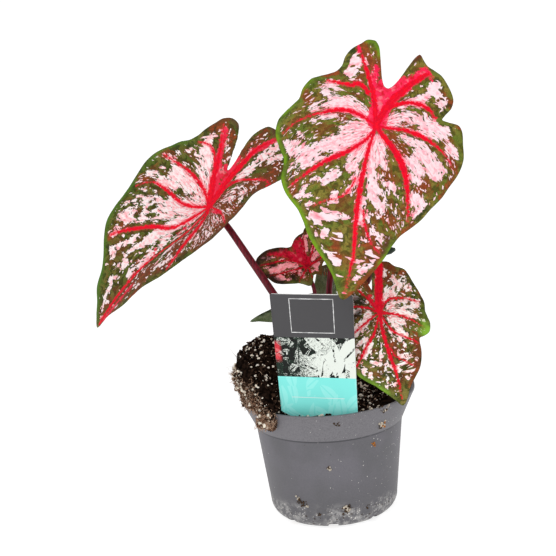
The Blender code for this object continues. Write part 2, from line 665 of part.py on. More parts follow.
def stalk_path(name, leaf=None):
    """A stalk's path; under a leaf it ends square to the blade, a small gap below it."""
    points, foot, head = STALKS[name]
    points = [Vector(p) for p in points]
    if leaf:
        axes = leaf_axes(leaf)
        below = BLADE_THICKNESS + RIB_DEPTH + GAP + 0.1
        for run in (2 * leaf["neck"], leaf["neck"], 0.0):
            points.append(leaf_point(leaf, axes, 0, 0, -below - run))
    path = smooth_path(points, PATH_STEPS)
    last = len(path) - 1
    radii = [foot + (head - foot) * i / last for i in range(len(path))]
    return path, radii


def bore(soil, path, radii):
    """Cut a stalk's hole in the mix, down into the tuber's hollow."""
    below = path[0] + (path[0] - path[1]).normalized() * HOLE_RUN
    count = next(i for i, point in enumerate(path) if point.z > HOLE_TOP) + 1
    widths = [r + GAP for r in radii[:1] + radii[:count]]
    combine(soil, tube("bore_cutter", [below] + path[:count], widths, "potting_mix"), "DIFFERENCE")


def make_card(name, grow):
    """The label: a card on a pointed stake that bends inwards; grow makes its slot."""
    low_left, low_right, top_right, top_left = (
        Vector(p) for p in (CARD_LOW_LEFT, CARD_LOW_RIGHT, CARD_TOP_RIGHT, CARD_TOP_LEFT))
    across = (low_right - low_left).normalized()
    up = ((top_left + top_right) - (low_left + low_right)).normalized()
    face = across.cross(up).normalized()
    middle = (low_left + low_right) / 2
    shoulder = middle - up * SHOULDER_DROP
    foot = shoulder + Vector(STAKE_RUN)
    point = foot + Vector(STAKE_RUN).normalized() * 7.0
    corner = up * 1.5
    rows = [(point - across * 1.5, point + across * 1.5),
            (foot - across * STAKE_WIDTH / 2, foot + across * STAKE_WIDTH / 2),
            (shoulder - across * STAKE_WIDTH / 2, shoulder + across * STAKE_WIDTH / 2),
            (low_left, low_right),
            (top_left - corner, top_right - corner),
            (top_left + across * 1.5, top_right - across * 1.5)]
    if grow:
        rows[0] = tuple(p - up * grow * 2 for p in rows[0])
        rows = [(left - across * grow * 1.5, right + across * grow * 1.5) for left, right in rows]
    half = CARD_THICKNESS / 2 + grow
    verts = [p + face * side for side in (half, -half) for row in rows for p in row]
    back = 2 * len(rows)
    faces = [(0, 1, back + 1, back), (back - 2, back - 1, 2 * back - 1, 2 * back - 2)]
    for r in range(len(rows) - 1):
        a, b, c, d = 2 * r, 2 * r + 1, 2 * r + 3, 2 * r + 2
        for near, far in ((a, b), (b, c), (c, d), (d, a)):
            if (near, far) in ((b, c), (d, a)):
                faces.append((near, far, back + far, back + near))
        for tri in ((a, b, c), (a, c, d)):
            faces.append(tri)
            faces.append(tuple(back + v for v in tri))
    return make_object(name, verts, faces, "label_card")


def main():
    clear_scene()
    make_pot()
    soil = make_soil()
    cut_wall(soil)

    make_leaf("front_leaf", FRONT_LEAF, "variegated_blade", 13.0, "red_veins")
    make_leaf("left_leaf", LEFT_LEAF, "variegated_blade", 13.0, "red_veins")
    make_leaf("low_leaf", LOW_LEAF, "variegated_blade", 15.0, "red_veins")
    make_leaf("back_leaf", BACK_LEAF, "variegated_blade", 18.0, "red_veins")
    make_leaf("green_leaf", GREEN_LEAF, "green_blade", 20.0)

    stalks = {
        "front_petiole": FRONT_LEAF, "left_petiole": LEFT_LEAF, "low_petiole": LOW_LEAF,
        "back_petiole": BACK_LEAF, "green_petiole": GREEN_LEAF,
    }
    for name, leaf in stalks.items():
        path, radii = stalk_path(name, leaf)
        tube(name, path, radii, "petiole_skin")
        bore(soil, path, radii)
    stem = smooth_path(NEW_LEAF_STEM, PATH_STEPS)
    radii = [1.7 - 0.3 * i / (len(stem) - 1) for i in range(len(stem))]
    tube("new_leaf_stem", stem, radii, "petiole_skin")
    bore(soil, stem, radii)
    roll = smooth_path(NEW_LEAF_ROLL, PATH_STEPS)
    tube("new_leaf_roll", roll, ROLL_RADII, "green_blade")

    make_ball("tuber", TUBER_CENTRE, TUBER_RADII, 0.0, "tuber_skin")
    combine(soil, make_ball("tuber_hollow", TUBER_CENTRE, TUBER_RADII, GAP, "potting_mix"),
            "DIFFERENCE")
    make_card("label", 0.0)
    combine(soil, make_card("label_slot", GAP), "DIFFERENCE")


main()
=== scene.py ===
"""Looks of the potted caladium: its leaves, stalks, potting mix, plant label and nursery pot.

Lengths are in millimetres until a mesh is written, when MM turns them into metres. The frame is
the model's own: the origin is the centre of the pot's base, +Z is up and the plant faces -Y.
"""
from __future__ import annotations

import logging
import math
import random
from collections.abc import Callable
from dataclasses import dataclass, field
from enum import Enum
from functools import cache

import bmesh
import bpy
import numpy as np
from mathutils import Matrix, Vector, noise

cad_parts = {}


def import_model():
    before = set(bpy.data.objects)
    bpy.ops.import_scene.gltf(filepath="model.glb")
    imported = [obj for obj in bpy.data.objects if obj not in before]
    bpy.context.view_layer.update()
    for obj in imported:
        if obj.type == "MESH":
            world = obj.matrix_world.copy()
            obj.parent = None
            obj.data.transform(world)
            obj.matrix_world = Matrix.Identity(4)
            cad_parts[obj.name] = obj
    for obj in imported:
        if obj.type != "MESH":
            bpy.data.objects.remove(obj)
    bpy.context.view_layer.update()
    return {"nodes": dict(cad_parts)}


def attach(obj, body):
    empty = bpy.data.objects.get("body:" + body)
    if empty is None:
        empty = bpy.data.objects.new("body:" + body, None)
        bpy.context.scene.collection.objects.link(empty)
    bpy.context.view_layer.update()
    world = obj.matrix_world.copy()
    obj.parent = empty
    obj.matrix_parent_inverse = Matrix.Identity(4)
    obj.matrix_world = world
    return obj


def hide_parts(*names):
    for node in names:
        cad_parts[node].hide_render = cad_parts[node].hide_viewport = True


log = logging.getLogger("caladium")

MM = 0.001
PER_METRE = 1000.0
BODY = "root"
IMAGE_SIDE = 556

# Millimetres: further than any place of a leaf, and the depth outside every mark.
FAR = 1e9
OUTSIDE = -20.0

Colour = tuple[float, float, float, float]
Point = tuple[float, float, float]
Streak = tuple[float, float, float, float, float]
Array = np.ndarray
Piece = bpy.types.Object
Material = bpy.types.Material
Socket = bpy.types.NodeSocket


def srgb(red: float, green: float, blue: float) -> Colour:
    """Turn an 8-bit screen colour into the linear colour that shaders take.

    Args:
        red: Red from 0 to 255.
        green: Green from 0 to 255.
        blue: Blue from 0 to 255.

    Returns:
        Linear red, green, blue and an alpha of 1.
    """
    def linear(value: float) -> float:
        """One channel, from screen to linear."""
        share = value / 255.0
        return share / 12.92 if share <= 0.04045 else ((share + 0.055) / 1.055) ** 2.4

    return (linear(red), linear(green), linear(blue), 1.0)


class NodeDesk:
    """Places and joins the nodes of one tree, a material's or a group's.

    Sums take numbers or sockets. The target is the node that the tree's result goes into.
    """

    def __init__(self, tree: bpy.types.NodeTree, target: bpy.types.Node | None = None) -> None:
        """Work on this tree, towards this node."""
        self.tree, self.target = tree, target

    def feed(self, name: str, value: Socket) -> None:
        """Join a socket to one of the target's inputs."""
        self.tree.links.new(value, self.target.inputs[name])

    def add(self, kind: str, inputs: dict | None = None, **settings: object) -> bpy.types.Node:
        """Add a node, set it up and feed its inputs.

        Args:
            kind: The node's type name.
            inputs: Values or sockets by input name or number.
            settings: Properties of the node itself.

        Returns:
            The new node.
        """
        node = self.tree.nodes.new(kind)
        for name, value in settings.items():
            setattr(node, name, value)
        for name, value in (inputs or {}).items():
            if isinstance(value, Socket):
                self.tree.links.new(value, node.inputs[name])
            else:
                node.inputs[name].default_value = value
        return node

    def math(self, operation: str, first: object, second: object = 0.0) -> Socket:
        """The result of one named sum."""
        return self.add("ShaderNodeMath", {0: first, 1: second}, operation=operation).outputs[0]

    def plus(self, first: object, second: object) -> Socket:
        """Two numbers added."""
        return self.math("ADD", first, second)

    def minus(self, first: object, second: object) -> Socket:
        """One number less another."""
        return self.math("SUBTRACT", first, second)

    def times(self, first: object, second: object) -> Socket:
        """Two numbers multiplied."""
        return self.math("MULTIPLY", first, second)

    def most(self, first: object, second: object) -> Socket:
        """The larger of two numbers."""
        return self.math("MAXIMUM", first, second)

    def under(self, first: object, second: object) -> Socket:
        """1 where the first number is the smaller, else 0."""
        return self.math("LESS_THAN", first, second)

    def over(self, first: object, second: object) -> Socket:
        """1 where the first number is the larger, else 0."""
        return self.math("GREATER_THAN", first, second)

    def gap(self, first: object, second: object) -> Socket:
        """How far two numbers are apart."""
        return self.math("ABSOLUTE", self.minus(first, second))

    def sway(self, value: object, reach: float) -> Socket:
        """How far a noise is off its middle, times a reach."""
        return self.times(self.minus(value, 0.5), reach)

    def mix(self, share: object, first: object, second: object, blend: str = "MIX") -> Socket:
        """A colour between two, by share."""
        return self.add("ShaderNodeMix", {0: share, 6: first, 7: second}, data_type="RGBA",
                        blend_type=blend).outputs[2]

    def ramp(self, value: object, low: float, high: float, start: float = 0.0,
             end: float = 1.0) -> Socket:
        """A soft step of value from low to high, going from start to end."""
        inputs = {"Value": value, "From Min": low, "From Max": high, "To Min": start, "To Max": end}
        return self.add("ShaderNodeMapRange", inputs, interpolation_type="SMOOTHSTEP").outputs[0]

    def noise(self, vector: object, scale: float, detail: float = 2.0, rough: float = 0.5,
              twist: float = 0.0) -> Socket:
        """Cloudy noise from about 0 to 1."""
        return self.add("ShaderNodeTexNoise", {
            "Vector": vector, "Scale": scale, "Detail": detail, "Roughness": rough,
            "Distortion": twist}).outputs[0]

    def stretch(self, vector: object, scale: Point, move: Point = (0.0, 0.0, 0.0)) -> Socket:
        """A vector scaled and moved."""
        inputs = {"Vector": vector, "Scale": scale, "Location": move}
        return self.add("ShaderNodeMapping", inputs).outputs[0]

    def move(self, vector: object, way: Point) -> Socket:
        """A vector moved."""
        return self.stretch(vector, (1.0, 1.0, 1.0), way)

    def place(self, x: float, y: float, z: float) -> Socket:
        """Object coordinates, scaled."""
        return self.stretch(self.add("ShaderNodeTexCoord").outputs["Object"], (x, y, z))

    def millimetres(self) -> Socket:
        """Object coordinates in millimetres."""
        return self.place(PER_METRE, PER_METRE, PER_METRE)

    def laid(self, name: str) -> Socket:
        """A place on one of the piece's own maps."""
        return self.add("ShaderNodeUVMap", uv_map=name).outputs[0]

    def painted(self, name: str) -> dict[str, Socket]:
        """The outputs of one of the piece's own attributes."""
        return self.add("ShaderNodeAttribute", attribute_name=name).outputs

    def axes(self, vector: object) -> list[Socket]:
        """A vector's three parts."""
        return self.add("ShaderNodeSeparateXYZ", {0: vector}).outputs

    def split(self, colour: object) -> list[Socket]:
        """A colour's three channels."""
        return self.add("ShaderNodeSeparateColor", {0: colour}).outputs

    def group(self, tree: bpy.types.NodeTree, inputs: dict) -> dict[str, Socket]:
        """Place a node group, feed it and give its outputs."""
        return self.add("ShaderNodeGroup", inputs, node_tree=tree).outputs

    def grain(self, vector: object, scale: float, fine: float) -> Socket:
        """The shared fine relief, with its own size and roughness."""
        return self.group(SharedEffects.grain(), {"Vector": vector, "Scale": scale, "Fine": fine})[0]

    def flecks(self, vector: object, scale: float, share: object, size: float) -> Socket:
        """The shared small spots, with their own spacing, share of places and size."""
        return self.group(SharedEffects.flecks(), {
            "Vector": vector, "Scale": scale, "Share": share, "Size": size})[0]

    def bump(self, height: object, strength: float, distance: float) -> None:
        """Bend the target's normal by a height."""
        inputs = {"Height": height, "Strength": strength, "Distance": distance}
        self.feed("Normal", self.add("ShaderNodeBump", inputs).outputs[0])


class SharedEffects:
    """Node groups that more than one material uses, each built once."""

    @staticmethod
    def _start(name: str, inputs: dict[str, float | None], masks: tuple[str, ...],
               colours: tuple[str, ...] = ()) -> tuple[NodeDesk, dict[str, Socket]]:
        """Make an empty group with named sockets.

        Args:
            name: The group's name.
            inputs: Each number's default, or None for a vector.
            masks: Names of the outputs that are numbers.
            colours: Names of the outputs that are colours.

        Returns:
            The group's desk, whose target is its output node, and its input sockets by name.
        """
        tree = bpy.data.node_groups.new(name, "ShaderNodeTree")
        for label, default in inputs.items():
            kind = "NodeSocketVector" if default is None else "NodeSocketFloat"
            socket = tree.interface.new_socket(name=label, in_out="INPUT", socket_type=kind)
            if default is not None:
                socket.default_value = default
        for label in masks + colours:
            kind = "NodeSocketFloat" if label in masks else "NodeSocketColor"
            tree.interface.new_socket(name=label, in_out="OUTPUT", socket_type=kind)
        desk = NodeDesk(tree)
        entry = desk.add("NodeGroupInput")
        desk.target = desk.add("NodeGroupOutput")
        return desk, {socket.name: socket for socket in entry.outputs}

    @staticmethod
    @cache
    def mosaic_edge() -> bpy.types.NodeTree:
        """A mask that follows a field in millimetres, but cell by cell, as a variegated leaf grows.

        Returns:
            The group: Field, Flow, Coarse and Fine in, Mask, Torn, Patch and Speck out, where
            Patch and Speck are the chance colours of the large and the small cells.
        """
        desk, sockets = SharedEffects._start(
            "mosaic_edge", {"Field": 0.0, "Flow": None, "Coarse": 3.0, "Fine": 1.5},
            ("Mask", "Torn"), ("Patch", "Speck"))
        warp = desk.add("ShaderNodeTexNoise", {"Vector": sockets["Flow"], "Scale": 1.6, "Detail": 2.0})
        warp = desk.add("ShaderNodeVectorMath", {0: warp.outputs["Color"], 1: (0.5, 0.5, 0.5)},
                        operation="SUBTRACT").outputs[0]
        warped = desk.add("ShaderNodeVectorMath", {0: warp, 1: (0.9, 0.9, 0.0), 2: sockets["Flow"]},
                          operation="MULTIPLY_ADD").outputs[0]
        torn = desk.minus(sockets["Field"], 0.45)
        for scale, reach, label in ((1.7, "Coarse", "Patch"), (4.6, "Fine", "Speck")):
            cell = desk.add("ShaderNodeTexVoronoi", {"Vector": warped, "Scale": scale},
                            voronoi_dimensions="2D")
            push = desk.sway(desk.split(cell.outputs["Color"])[0], 2.0)
            torn = desk.plus(torn, desk.times(push, sockets[reach]))
            desk.feed(label, cell.outputs["Color"])
        desk.feed("Mask", desk.ramp(torn, -0.12, 0.12))
        desk.feed("Torn", torn)
        return desk.tree

    @staticmethod
    @cache
    def flecks() -> bpy.types.NodeTree:
        """Scattered small spots of uneven size.

        Returns:
            The group: Vector, Scale, Share and Size in, Mask out.
        """
        desk, sockets = SharedEffects._start(
            "flecks", {"Vector": None, "Scale": 1.0, "Share": 0.3, "Size": 0.3}, ("Mask",))
        node = desk.add("ShaderNodeTexVoronoi", {"Vector": sockets["Vector"], "Scale": sockets["Scale"]})
        parts = desk.split(node.outputs["Color"])
        chosen = desk.under(parts[0], sockets["Share"])
        size = desk.times(sockets["Size"], desk.plus(desk.times(parts[1], 0.9), 0.35))
        wobble = desk.noise(sockets["Vector"], 2.6, 2.0, 0.6)
        inside = desk.under(desk.plus(node.outputs["Distance"], desk.sway(wobble, 0.35)), size)
        desk.feed("Mask", desk.times(chosen, inside))
        return desk.tree

    @staticmethod
    @cache
    def grain() -> bpy.types.NodeTree:
        """Fine uneven relief, from two sizes of noise.

        Returns:
            The group: Vector, Scale and Fine in, Height out.
        """
        desk, sockets = SharedEffects._start(
            "grain", {"Vector": None, "Scale": 1.0, "Fine": 0.4}, ("Height",))
        wide = desk.add("ShaderNodeTexNoise", {"Vector": sockets["Vector"],
                                               "Scale": sockets["Scale"], "Detail": 3.0})
        small = desk.add("ShaderNodeTexNoise", {"Vector": sockets["Vector"], "Detail": 2.0,
                                                "Scale": desk.times(sockets["Scale"], 4.5)})
        desk.feed("Height", desk.plus(wide.outputs[0], desk.times(small.outputs[0], sockets["Fine"])))
        return desk.tree


def start_material(name: str, roughness: float, specular: float) -> tuple[Material, NodeDesk]:
    """Make a material with one Principled shader.

    Args:
        name: The material's name.
        roughness: The shader's roughness.
        specular: The shader's specular level.

    Returns:
        The material and its desk, whose target is the shader.
    """
    made = bpy.data.materials.new(name)
    made.use_nodes = True
    shader = made.node_tree.nodes["Principled BSDF"]
    shader.inputs["Roughness"].default_value = roughness
    shader.inputs["Specular IOR Level"].default_value = specular
    return made, NodeDesk(made.node_tree, shader)


def deselect() -> None:
    """Leave nothing selected, as the loaded model is."""
    bpy.ops.object.select_all(action="DESELECT")


def pick(piece: Piece) -> None:
    """Select one object and make it active."""
    deselect()
    piece.select_set(True)
    bpy.context.view_layer.objects.active = piece


def apply_modifier(piece: Piece, kind: str, **settings: object) -> None:
    """Add a modifier, set it up and apply it.

    Args:
        piece: What to change.
        kind: The modifier's type.
        settings: The modifier's own properties.
    """
    pick(piece)
    step = piece.modifiers.new(kind.lower(), kind)
    for name, value in settings.items():
        setattr(step, name, value)
    bpy.ops.object.modifier_apply(modifier=step.name)


def edit_all(piece: Piece, *steps: Callable[[], object]) -> None:
    """Run edit-mode steps on everything in a mesh.

    Args:
        piece: What to change.
        steps: What to do, in order.
    """
    pick(piece)
    bpy.ops.object.mode_set(mode="EDIT")
    bpy.ops.mesh.select_all(action="SELECT")
    for step in steps:
        step()
    bpy.ops.object.mode_set(mode="OBJECT")


def weld() -> None:
    """Merge the points that fall together."""
    bpy.ops.mesh.remove_doubles(threshold=0.00001)


def outward() -> None:
    """Turn the faces outwards."""
    bpy.ops.mesh.normals_make_consistent(inside=False)


def smooth(piece: Piece, degrees: float) -> None:
    """Shade smooth, apart from edges sharper than an angle."""
    pick(piece)
    bpy.ops.object.shade_smooth_by_angle(angle=math.radians(degrees))


def smooth_all(piece: Piece) -> None:
    """Shade every face smooth."""
    piece.data.polygons.foreach_set("use_smooth", [True] * len(piece.data.polygons))


def points_of(piece: Piece) -> Array:
    """A mesh's points as an array, in metres."""
    flat = np.empty(len(piece.data.vertices) * 3)
    piece.data.vertices.foreach_get("co", flat)
    return flat.reshape(-1, 3)


def bend(piece: Piece, places: Array) -> None:
    """Move a mesh's points to these places, given in millimetres."""
    piece.data.vertices.foreach_set("co", (places * MM).ravel())
    piece.data.update()


def add_grid(name: str, across: int, along: int) -> tuple[Piece, Array, Array]:
    """Add a flat grid that its maker then bends into shape.

    Args:
        name: The object's name.
        across: Faces along X.
        along: Faces along Y.

    Returns:
        The object, and each point's share across and along, from 0 to 1.
    """
    deselect()
    bpy.ops.mesh.primitive_grid_add(x_subdivisions=across, y_subdivisions=along, size=2.0)
    piece = bpy.context.active_object
    piece.name = piece.data.name = name
    flat = points_of(piece)
    return piece, np.clip((flat[:, 0] + 1) / 2, 0, 1), np.clip((flat[:, 1] + 1) / 2, 0, 1)


def add_mesh(name: str, verts: list, faces: list[tuple[int, ...]]) -> Piece:
    """Add a mesh from its points and faces.

    Args:
        name: The object's name.
        verts: Points, in metres.
        faces: The points of each face.

    Returns:
        The object.
    """
    mesh = bpy.data.meshes.new(name)
    mesh.from_pydata(verts, [], faces)
    piece = bpy.data.objects.new(name, mesh)
    bpy.context.collection.objects.link(piece)
    return piece


def join(pieces: list[Piece], name: str) -> Piece:
    """Join objects into the first one and name it.

    Args:
        pieces: What to join.
        name: Its name.

    Returns:
        The joined object.
    """
    deselect()
    for piece in pieces:
        piece.select_set(True)
    bpy.context.view_layer.objects.active = pieces[0]
    if len(pieces) > 1:
        bpy.ops.object.join()
    pieces[0].name = pieces[0].data.name = name
    return pieces[0]


def paint(piece: Piece, name: str, *parts: Array) -> None:
    """Write four numbers a point as an attribute of the mesh.

    Args:
        piece: What to write on.
        name: The attribute's name.
        parts: Each of the four numbers, for all points.
    """
    layer = piece.data.attributes.new(name, "FLOAT_COLOR", "POINT")
    layer.data.foreach_set("color", np.stack(parts, axis=1).astype(np.float32).ravel())


def lay_map(piece: Piece, name: str, across: Array, along: Array) -> None:
    """Write two numbers a point as a UV map of the mesh.

    Args:
        piece: What to write on.
        name: The map's name.
        across: The first number.
        along: The second number.
    """
    corner = np.empty(len(piece.data.loops), dtype=np.int32)
    piece.data.loops.foreach_get("vertex_index", corner)
    layer = piece.data.uv_layers.new(name=name)
    values = np.stack((across, along), axis=1)
    layer.data.foreach_set("uv", values[corner].astype(np.float32).ravel())


def finish_piece(piece: Piece, slot: str, *nodes: str) -> None:
    """Let a piece ride on the body and say which solids it stands for.

    Args:
        piece: What was made.
        slot: Its material slot; not used.
        nodes: The solids it replaces.
    """
    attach(piece, BODY)
    if nodes:
        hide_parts(*nodes)
    log.info("%s: %d faces", piece.name, len(piece.data.polygons))


def dress(piece: Piece, skin: Material, degrees: float, slot: str, *nodes: str) -> None:
    """Give a piece its one material and finish it.

    Args:
        piece: What was made.
        skin: Its material.
        degrees: Edges sharper than this stay sharp; 0 leaves the shading flat.
        slot: Its material slot.
        nodes: The solids it replaces.
    """
    piece.data.materials.clear()
    piece.data.materials.append(skin)
    if degrees:
        smooth(piece, degrees)
    finish_piece(piece, slot, *nodes)


def polar(run: Array, angle: Array) -> tuple[Array, Array]:
    """A leaf's plan coordinates, at a distance and an angle in degrees from its junction."""
    return run * np.sin(np.radians(angle)), run * np.cos(np.radians(angle))


def any_way(draw: random.Random) -> Vector:
    """Three draws from -1 to 1."""
    return Vector((draw.uniform(-1, 1), draw.uniform(-1, 1), draw.uniform(-1, 1)))


def between(p0: Array, p1: Array, p2: Array, p3: Array, t: Array) -> Array:
    """The place at share t from p1 to p2, on the smooth curve through four points."""
    return 0.5 * (2 * p1 + (p2 - p0) * t + (2 * p0 - 5 * p1 + 4 * p2 - p3) * t ** 2
                  + (3 * p1 - p0 - 3 * p2 + p3) * t ** 3)


def ahead_of(path: Array) -> Array:
    """The way a path runs at each of its points."""
    ahead = np.gradient(path, axis=0)
    return ahead / np.linalg.norm(ahead, axis=1)[:, None]


def tube(name: str, path: Array, radii: Array, sides: int = 20) -> Piece:
    """A closed round stalk along a path, rounded off at both ends.

    Args:
        name: The object's name.
        path: Points along the middle, in millimetres.
        radii: The radius at each point.
        sides: Faces round the stalk.

    Returns:
        The stalk.
    """
    piece, around, along = add_grid(name, sides, len(path) + 3)
    rows = len(path) + 4
    row = np.rint(along * (rows - 1)).astype(int)
    ahead = ahead_of(path)
    side = np.empty_like(path)
    last = np.array((1.0, 0.0, 0.0))
    for i, way in enumerate(ahead):
        last = last - way * last.dot(way)
        last = last / np.linalg.norm(last)
        side[i] = last
    other = np.cross(ahead, side)
    index = np.clip(row - 2, 0, len(path) - 1)
    width = radii[index] * np.where((row == 0) | (row == rows - 1), 0.0, 1.0)
    width *= np.where((row == 1) | (row == rows - 2), 0.72, 1.0)
    push = np.where(row == 0, -0.6, np.where(row == 1, -0.45, 0.0))
    push += np.where(row == rows - 1, 0.6, np.where(row == rows - 2, 0.45, 0.0))
    angle = around * 2 * math.pi
    places = (path[index] + (width * np.cos(angle))[:, None] * side[index]
              + (width * np.sin(angle))[:, None] * other[index]
              + (push * radii[index])[:, None] * ahead[index])
    bend(piece, places)
    edit_all(piece, weld, outward)
    return piece


def smooth_path(points: tuple[Point, ...], steps: int) -> Array:
    """Points on a curve that passes through every given point.

    Args:
        points: The given points.
        steps: Points from each given one to the next.

    Returns:
        The points.
    """
    given = [np.array(point, dtype=float) for point in points]
    given = [2 * given[0] - given[1]] + given + [2 * given[-1] - given[-2]]
    path = [between(*four, step / steps) for four in zip(given, given[1:], given[2:], given[3:])
            for step in range(steps)]
    return np.array(path + [given[-2]])


@dataclass(frozen=True)
class Vein:
    """One vein of a leaf.

    Its angle is given at five even steps of the reach. It runs from the share start to the share
    end, its ridge has a width in millimetres, and the red band round it has three half widths.
    """

    angles: tuple[float, float, float, float, float]
    ridge: float
    band: Point
    start: float = 0.0
    end: float = 0.93

    def angle(self, share: Array) -> Array:
        """The vein's angle at each share of the reach, smooth through its five angles."""
        x = np.clip(share, 0.0, 1.0) * 4
        i = np.minimum(x.astype(int), 3)
        steps = np.array(self.angles, dtype=float)
        steps = np.concatenate(([2 * steps[0] - steps[1]], steps, [2 * steps[-1] - steps[-2]]))
        return between(steps[i], steps[i + 1], steps[i + 2], steps[i + 3], x - i)

    def half_band(self, share: Array) -> Array:
        """Half the width of the red band at each share of the reach."""
        return np.interp(share, (self.start, (self.start + self.end) / 2, self.end), self.band)


@dataclass
class LeafForm:
    """A leaf's shape: how it hangs, its curved surface, its margin and its veins.

    The margin is (angle, reach) about the junction, where the stalk meets the blade: 0 degrees is
    the tip and 90 the right side, seen from above with the tip down. A streak is a mark that runs
    from (angle, reach) to (angle, reach) with a half width. A feather is a fan of thin pale streaks
    by chance: from angle to angle, from reach to reach, and how many.
    """

    name: str
    junction: Point
    tip: Point
    faces: Point
    arch: float
    half: float
    wave: tuple[float, int, float]
    wave_reach: float
    notch: float
    margin: tuple[tuple[float, float], ...]
    veins: tuple[Vein, ...]
    pale: tuple[Streak, ...] = ()
    web: tuple[Streak, ...] = ()
    lime: tuple[Streak, ...] = ()
    # Brown marks, and near-black painted shade where a leaf lies in shade.
    brown_and_shade: tuple[Streak, ...] = ()
    gaps: tuple[Streak, ...] = ()
    ruddy: tuple[Streak, ...] = ()
    feathers: tuple[Streak, ...] = ()
    fold: float = 0.0
    droop: float = 0.0
    rise: float = 0.0
    twist: float = 0.0
    patches: tuple[float, float] = (6.0, 7.0)
    trim: float = 0.997
    spokes: int = 400
    rings: int = 54
    thickness: float = 0.6
    rib: float = 0.8
    root_round: float = 10.0
    fold_round: float = 4.0

    def __post_init__(self) -> None:
        """Work out the leaf's axes."""
        start, tip = np.array(self.junction), np.array(self.tip)
        self.length = float(np.linalg.norm(tip - start))
        self.along = (tip - start) / self.length
        faces = np.array(self.faces)
        up = faces - self.along * faces.dot(self.along)
        self.up = up / np.linalg.norm(up)
        self.side = np.cross(self.up, self.along)

    def reach(self, angle: Array) -> Array:
        """The margin's reach at each angle, on a curve that never overshoots its points."""
        x = np.array([p[0] for p in self.margin], dtype=float)
        y = np.array([p[1] for p in self.margin], dtype=float)
        x = np.concatenate((x[-2:] - 360, x, x[:3] + 360))
        y = np.concatenate((y[-2:], y, y[:3]))
        step, rise = np.diff(x), np.diff(y)
        slope = rise / step
        tilt = np.zeros_like(y)
        same = slope[:-1] * slope[1:] > 0
        first, second = 2 * step[1:] + step[:-1], step[1:] + 2 * step[:-1]
        mean = np.zeros_like(first)
        mean[same] = ((first + second)[same]
                      / (first[same] / slope[:-1][same] + second[same] / slope[1:][same]))
        tilt[1:-1] = mean
        angle = np.mod(angle, 360.0)
        i = np.clip(np.searchsorted(x, angle) - 1, 0, len(x) - 2)
        t = (angle - x[i]) / step[i]
        reach = ((1 + 2 * t) * (1 - t) ** 2 * y[i] + t * (1 - t) ** 2 * step[i] * tilt[i]
                 + t ** 2 * (3 - 2 * t) * y[i + 1] + t ** 2 * (t - 1) * step[i] * tilt[i + 1])
        return reach * self.trim

    def height(self, a: Array, b: Array) -> Array:
        """How far the surface stands off the flat plane through the junction and the tip.

        Args:
            a: Plan coordinate across the leaf.
            b: Plan coordinate towards the tip.

        Returns:
            The height at each place.
        """
        root, start = np.hypot(b, self.root_round), self.root_round / 2
        s, back = (root + b) / 2 / self.length, (root - b) / 2
        s0 = start / self.length
        rise = 4 * self.arch * (s * (1 - s) - s0 * (1 - s0)) + self.rise * (back - start)
        fold = np.hypot(a, self.fold_round) - self.fold_round
        rise = rise + math.tan(math.radians(self.fold)) * fold
        rise = rise + self.twist * a * b - self.droop * (a / self.half) ** 2
        size, count, phase = self.wave
        edge = np.minimum(1.0, np.hypot(a, b) / self.wave_reach) ** 3
        return rise + size * edge * np.sin(count * np.arctan2(a, b) + math.radians(phase))

    def place(self, a: Array, b: Array, offset: Array) -> Array:
        """Points of the blade at plan places.

        Args:
            a: Plan coordinate across the leaf.
            b: Plan coordinate towards the tip.
            offset: How far off the upper face.

        Returns:
            The points, in the model's frame.
        """
        near = 0.5
        slope_a = self.height(a + near, b) - self.height(a - near, b)
        slope_b = self.height(a, b + near) - self.height(a, b - near)
        normal = (self.up[None, :] - slope_a[:, None] * self.side - slope_b[:, None] * self.along)
        normal /= np.linalg.norm(normal, axis=1)[:, None]
        flat = a[:, None] * self.side + b[:, None] * self.along
        rise = self.height(a, b)[:, None] * self.up
        return np.array(self.junction) + flat + rise + offset[:, None] * normal

    def fanned(self) -> tuple[Streak, ...]:
        """The thin pale streaks of the leaf's feathers, the same ones each time."""
        draw = random.Random(self.name)
        streaks = []
        for first, last, near, far, count in self.feathers:
            for _ in range(count):
                angle = draw.uniform(first, last)
                start = draw.uniform(near, far - 2.0)
                end = min(far, start + draw.uniform(1.0, 6.5))
                streaks.append((angle, start, angle + draw.uniform(-1.5, 1.5), end,
                                draw.uniform(0.3, 1.1)))
        return tuple(streaks)

    def vein_line(self, vein: Vein, count: int) -> tuple[Array, Array, Array]:
        """A vein's path in the leaf's plan.

        Args:
            vein: The vein.
            count: Points along it.

        Returns:
            The shares of the reach, and the two plan coordinates.
        """
        share = np.linspace(vein.start, vein.end, count)
        angle = vein.angle(share)
        run = share * self.reach(angle)
        return share, *polar(run, angle)

    def spoke_angles(self, share: Array) -> Array:
        """Angles of the spokes, evenly spaced along the margin and starting at the notch."""
        angle = self.notch + np.linspace(0.0, 360.0, 4001)
        a, b = polar(self.reach(angle), angle)
        walk = np.concatenate(([0.0], np.cumsum(np.hypot(np.diff(a), np.diff(b)) + 0.03)))
        return np.interp(share, walk / walk[-1], angle)


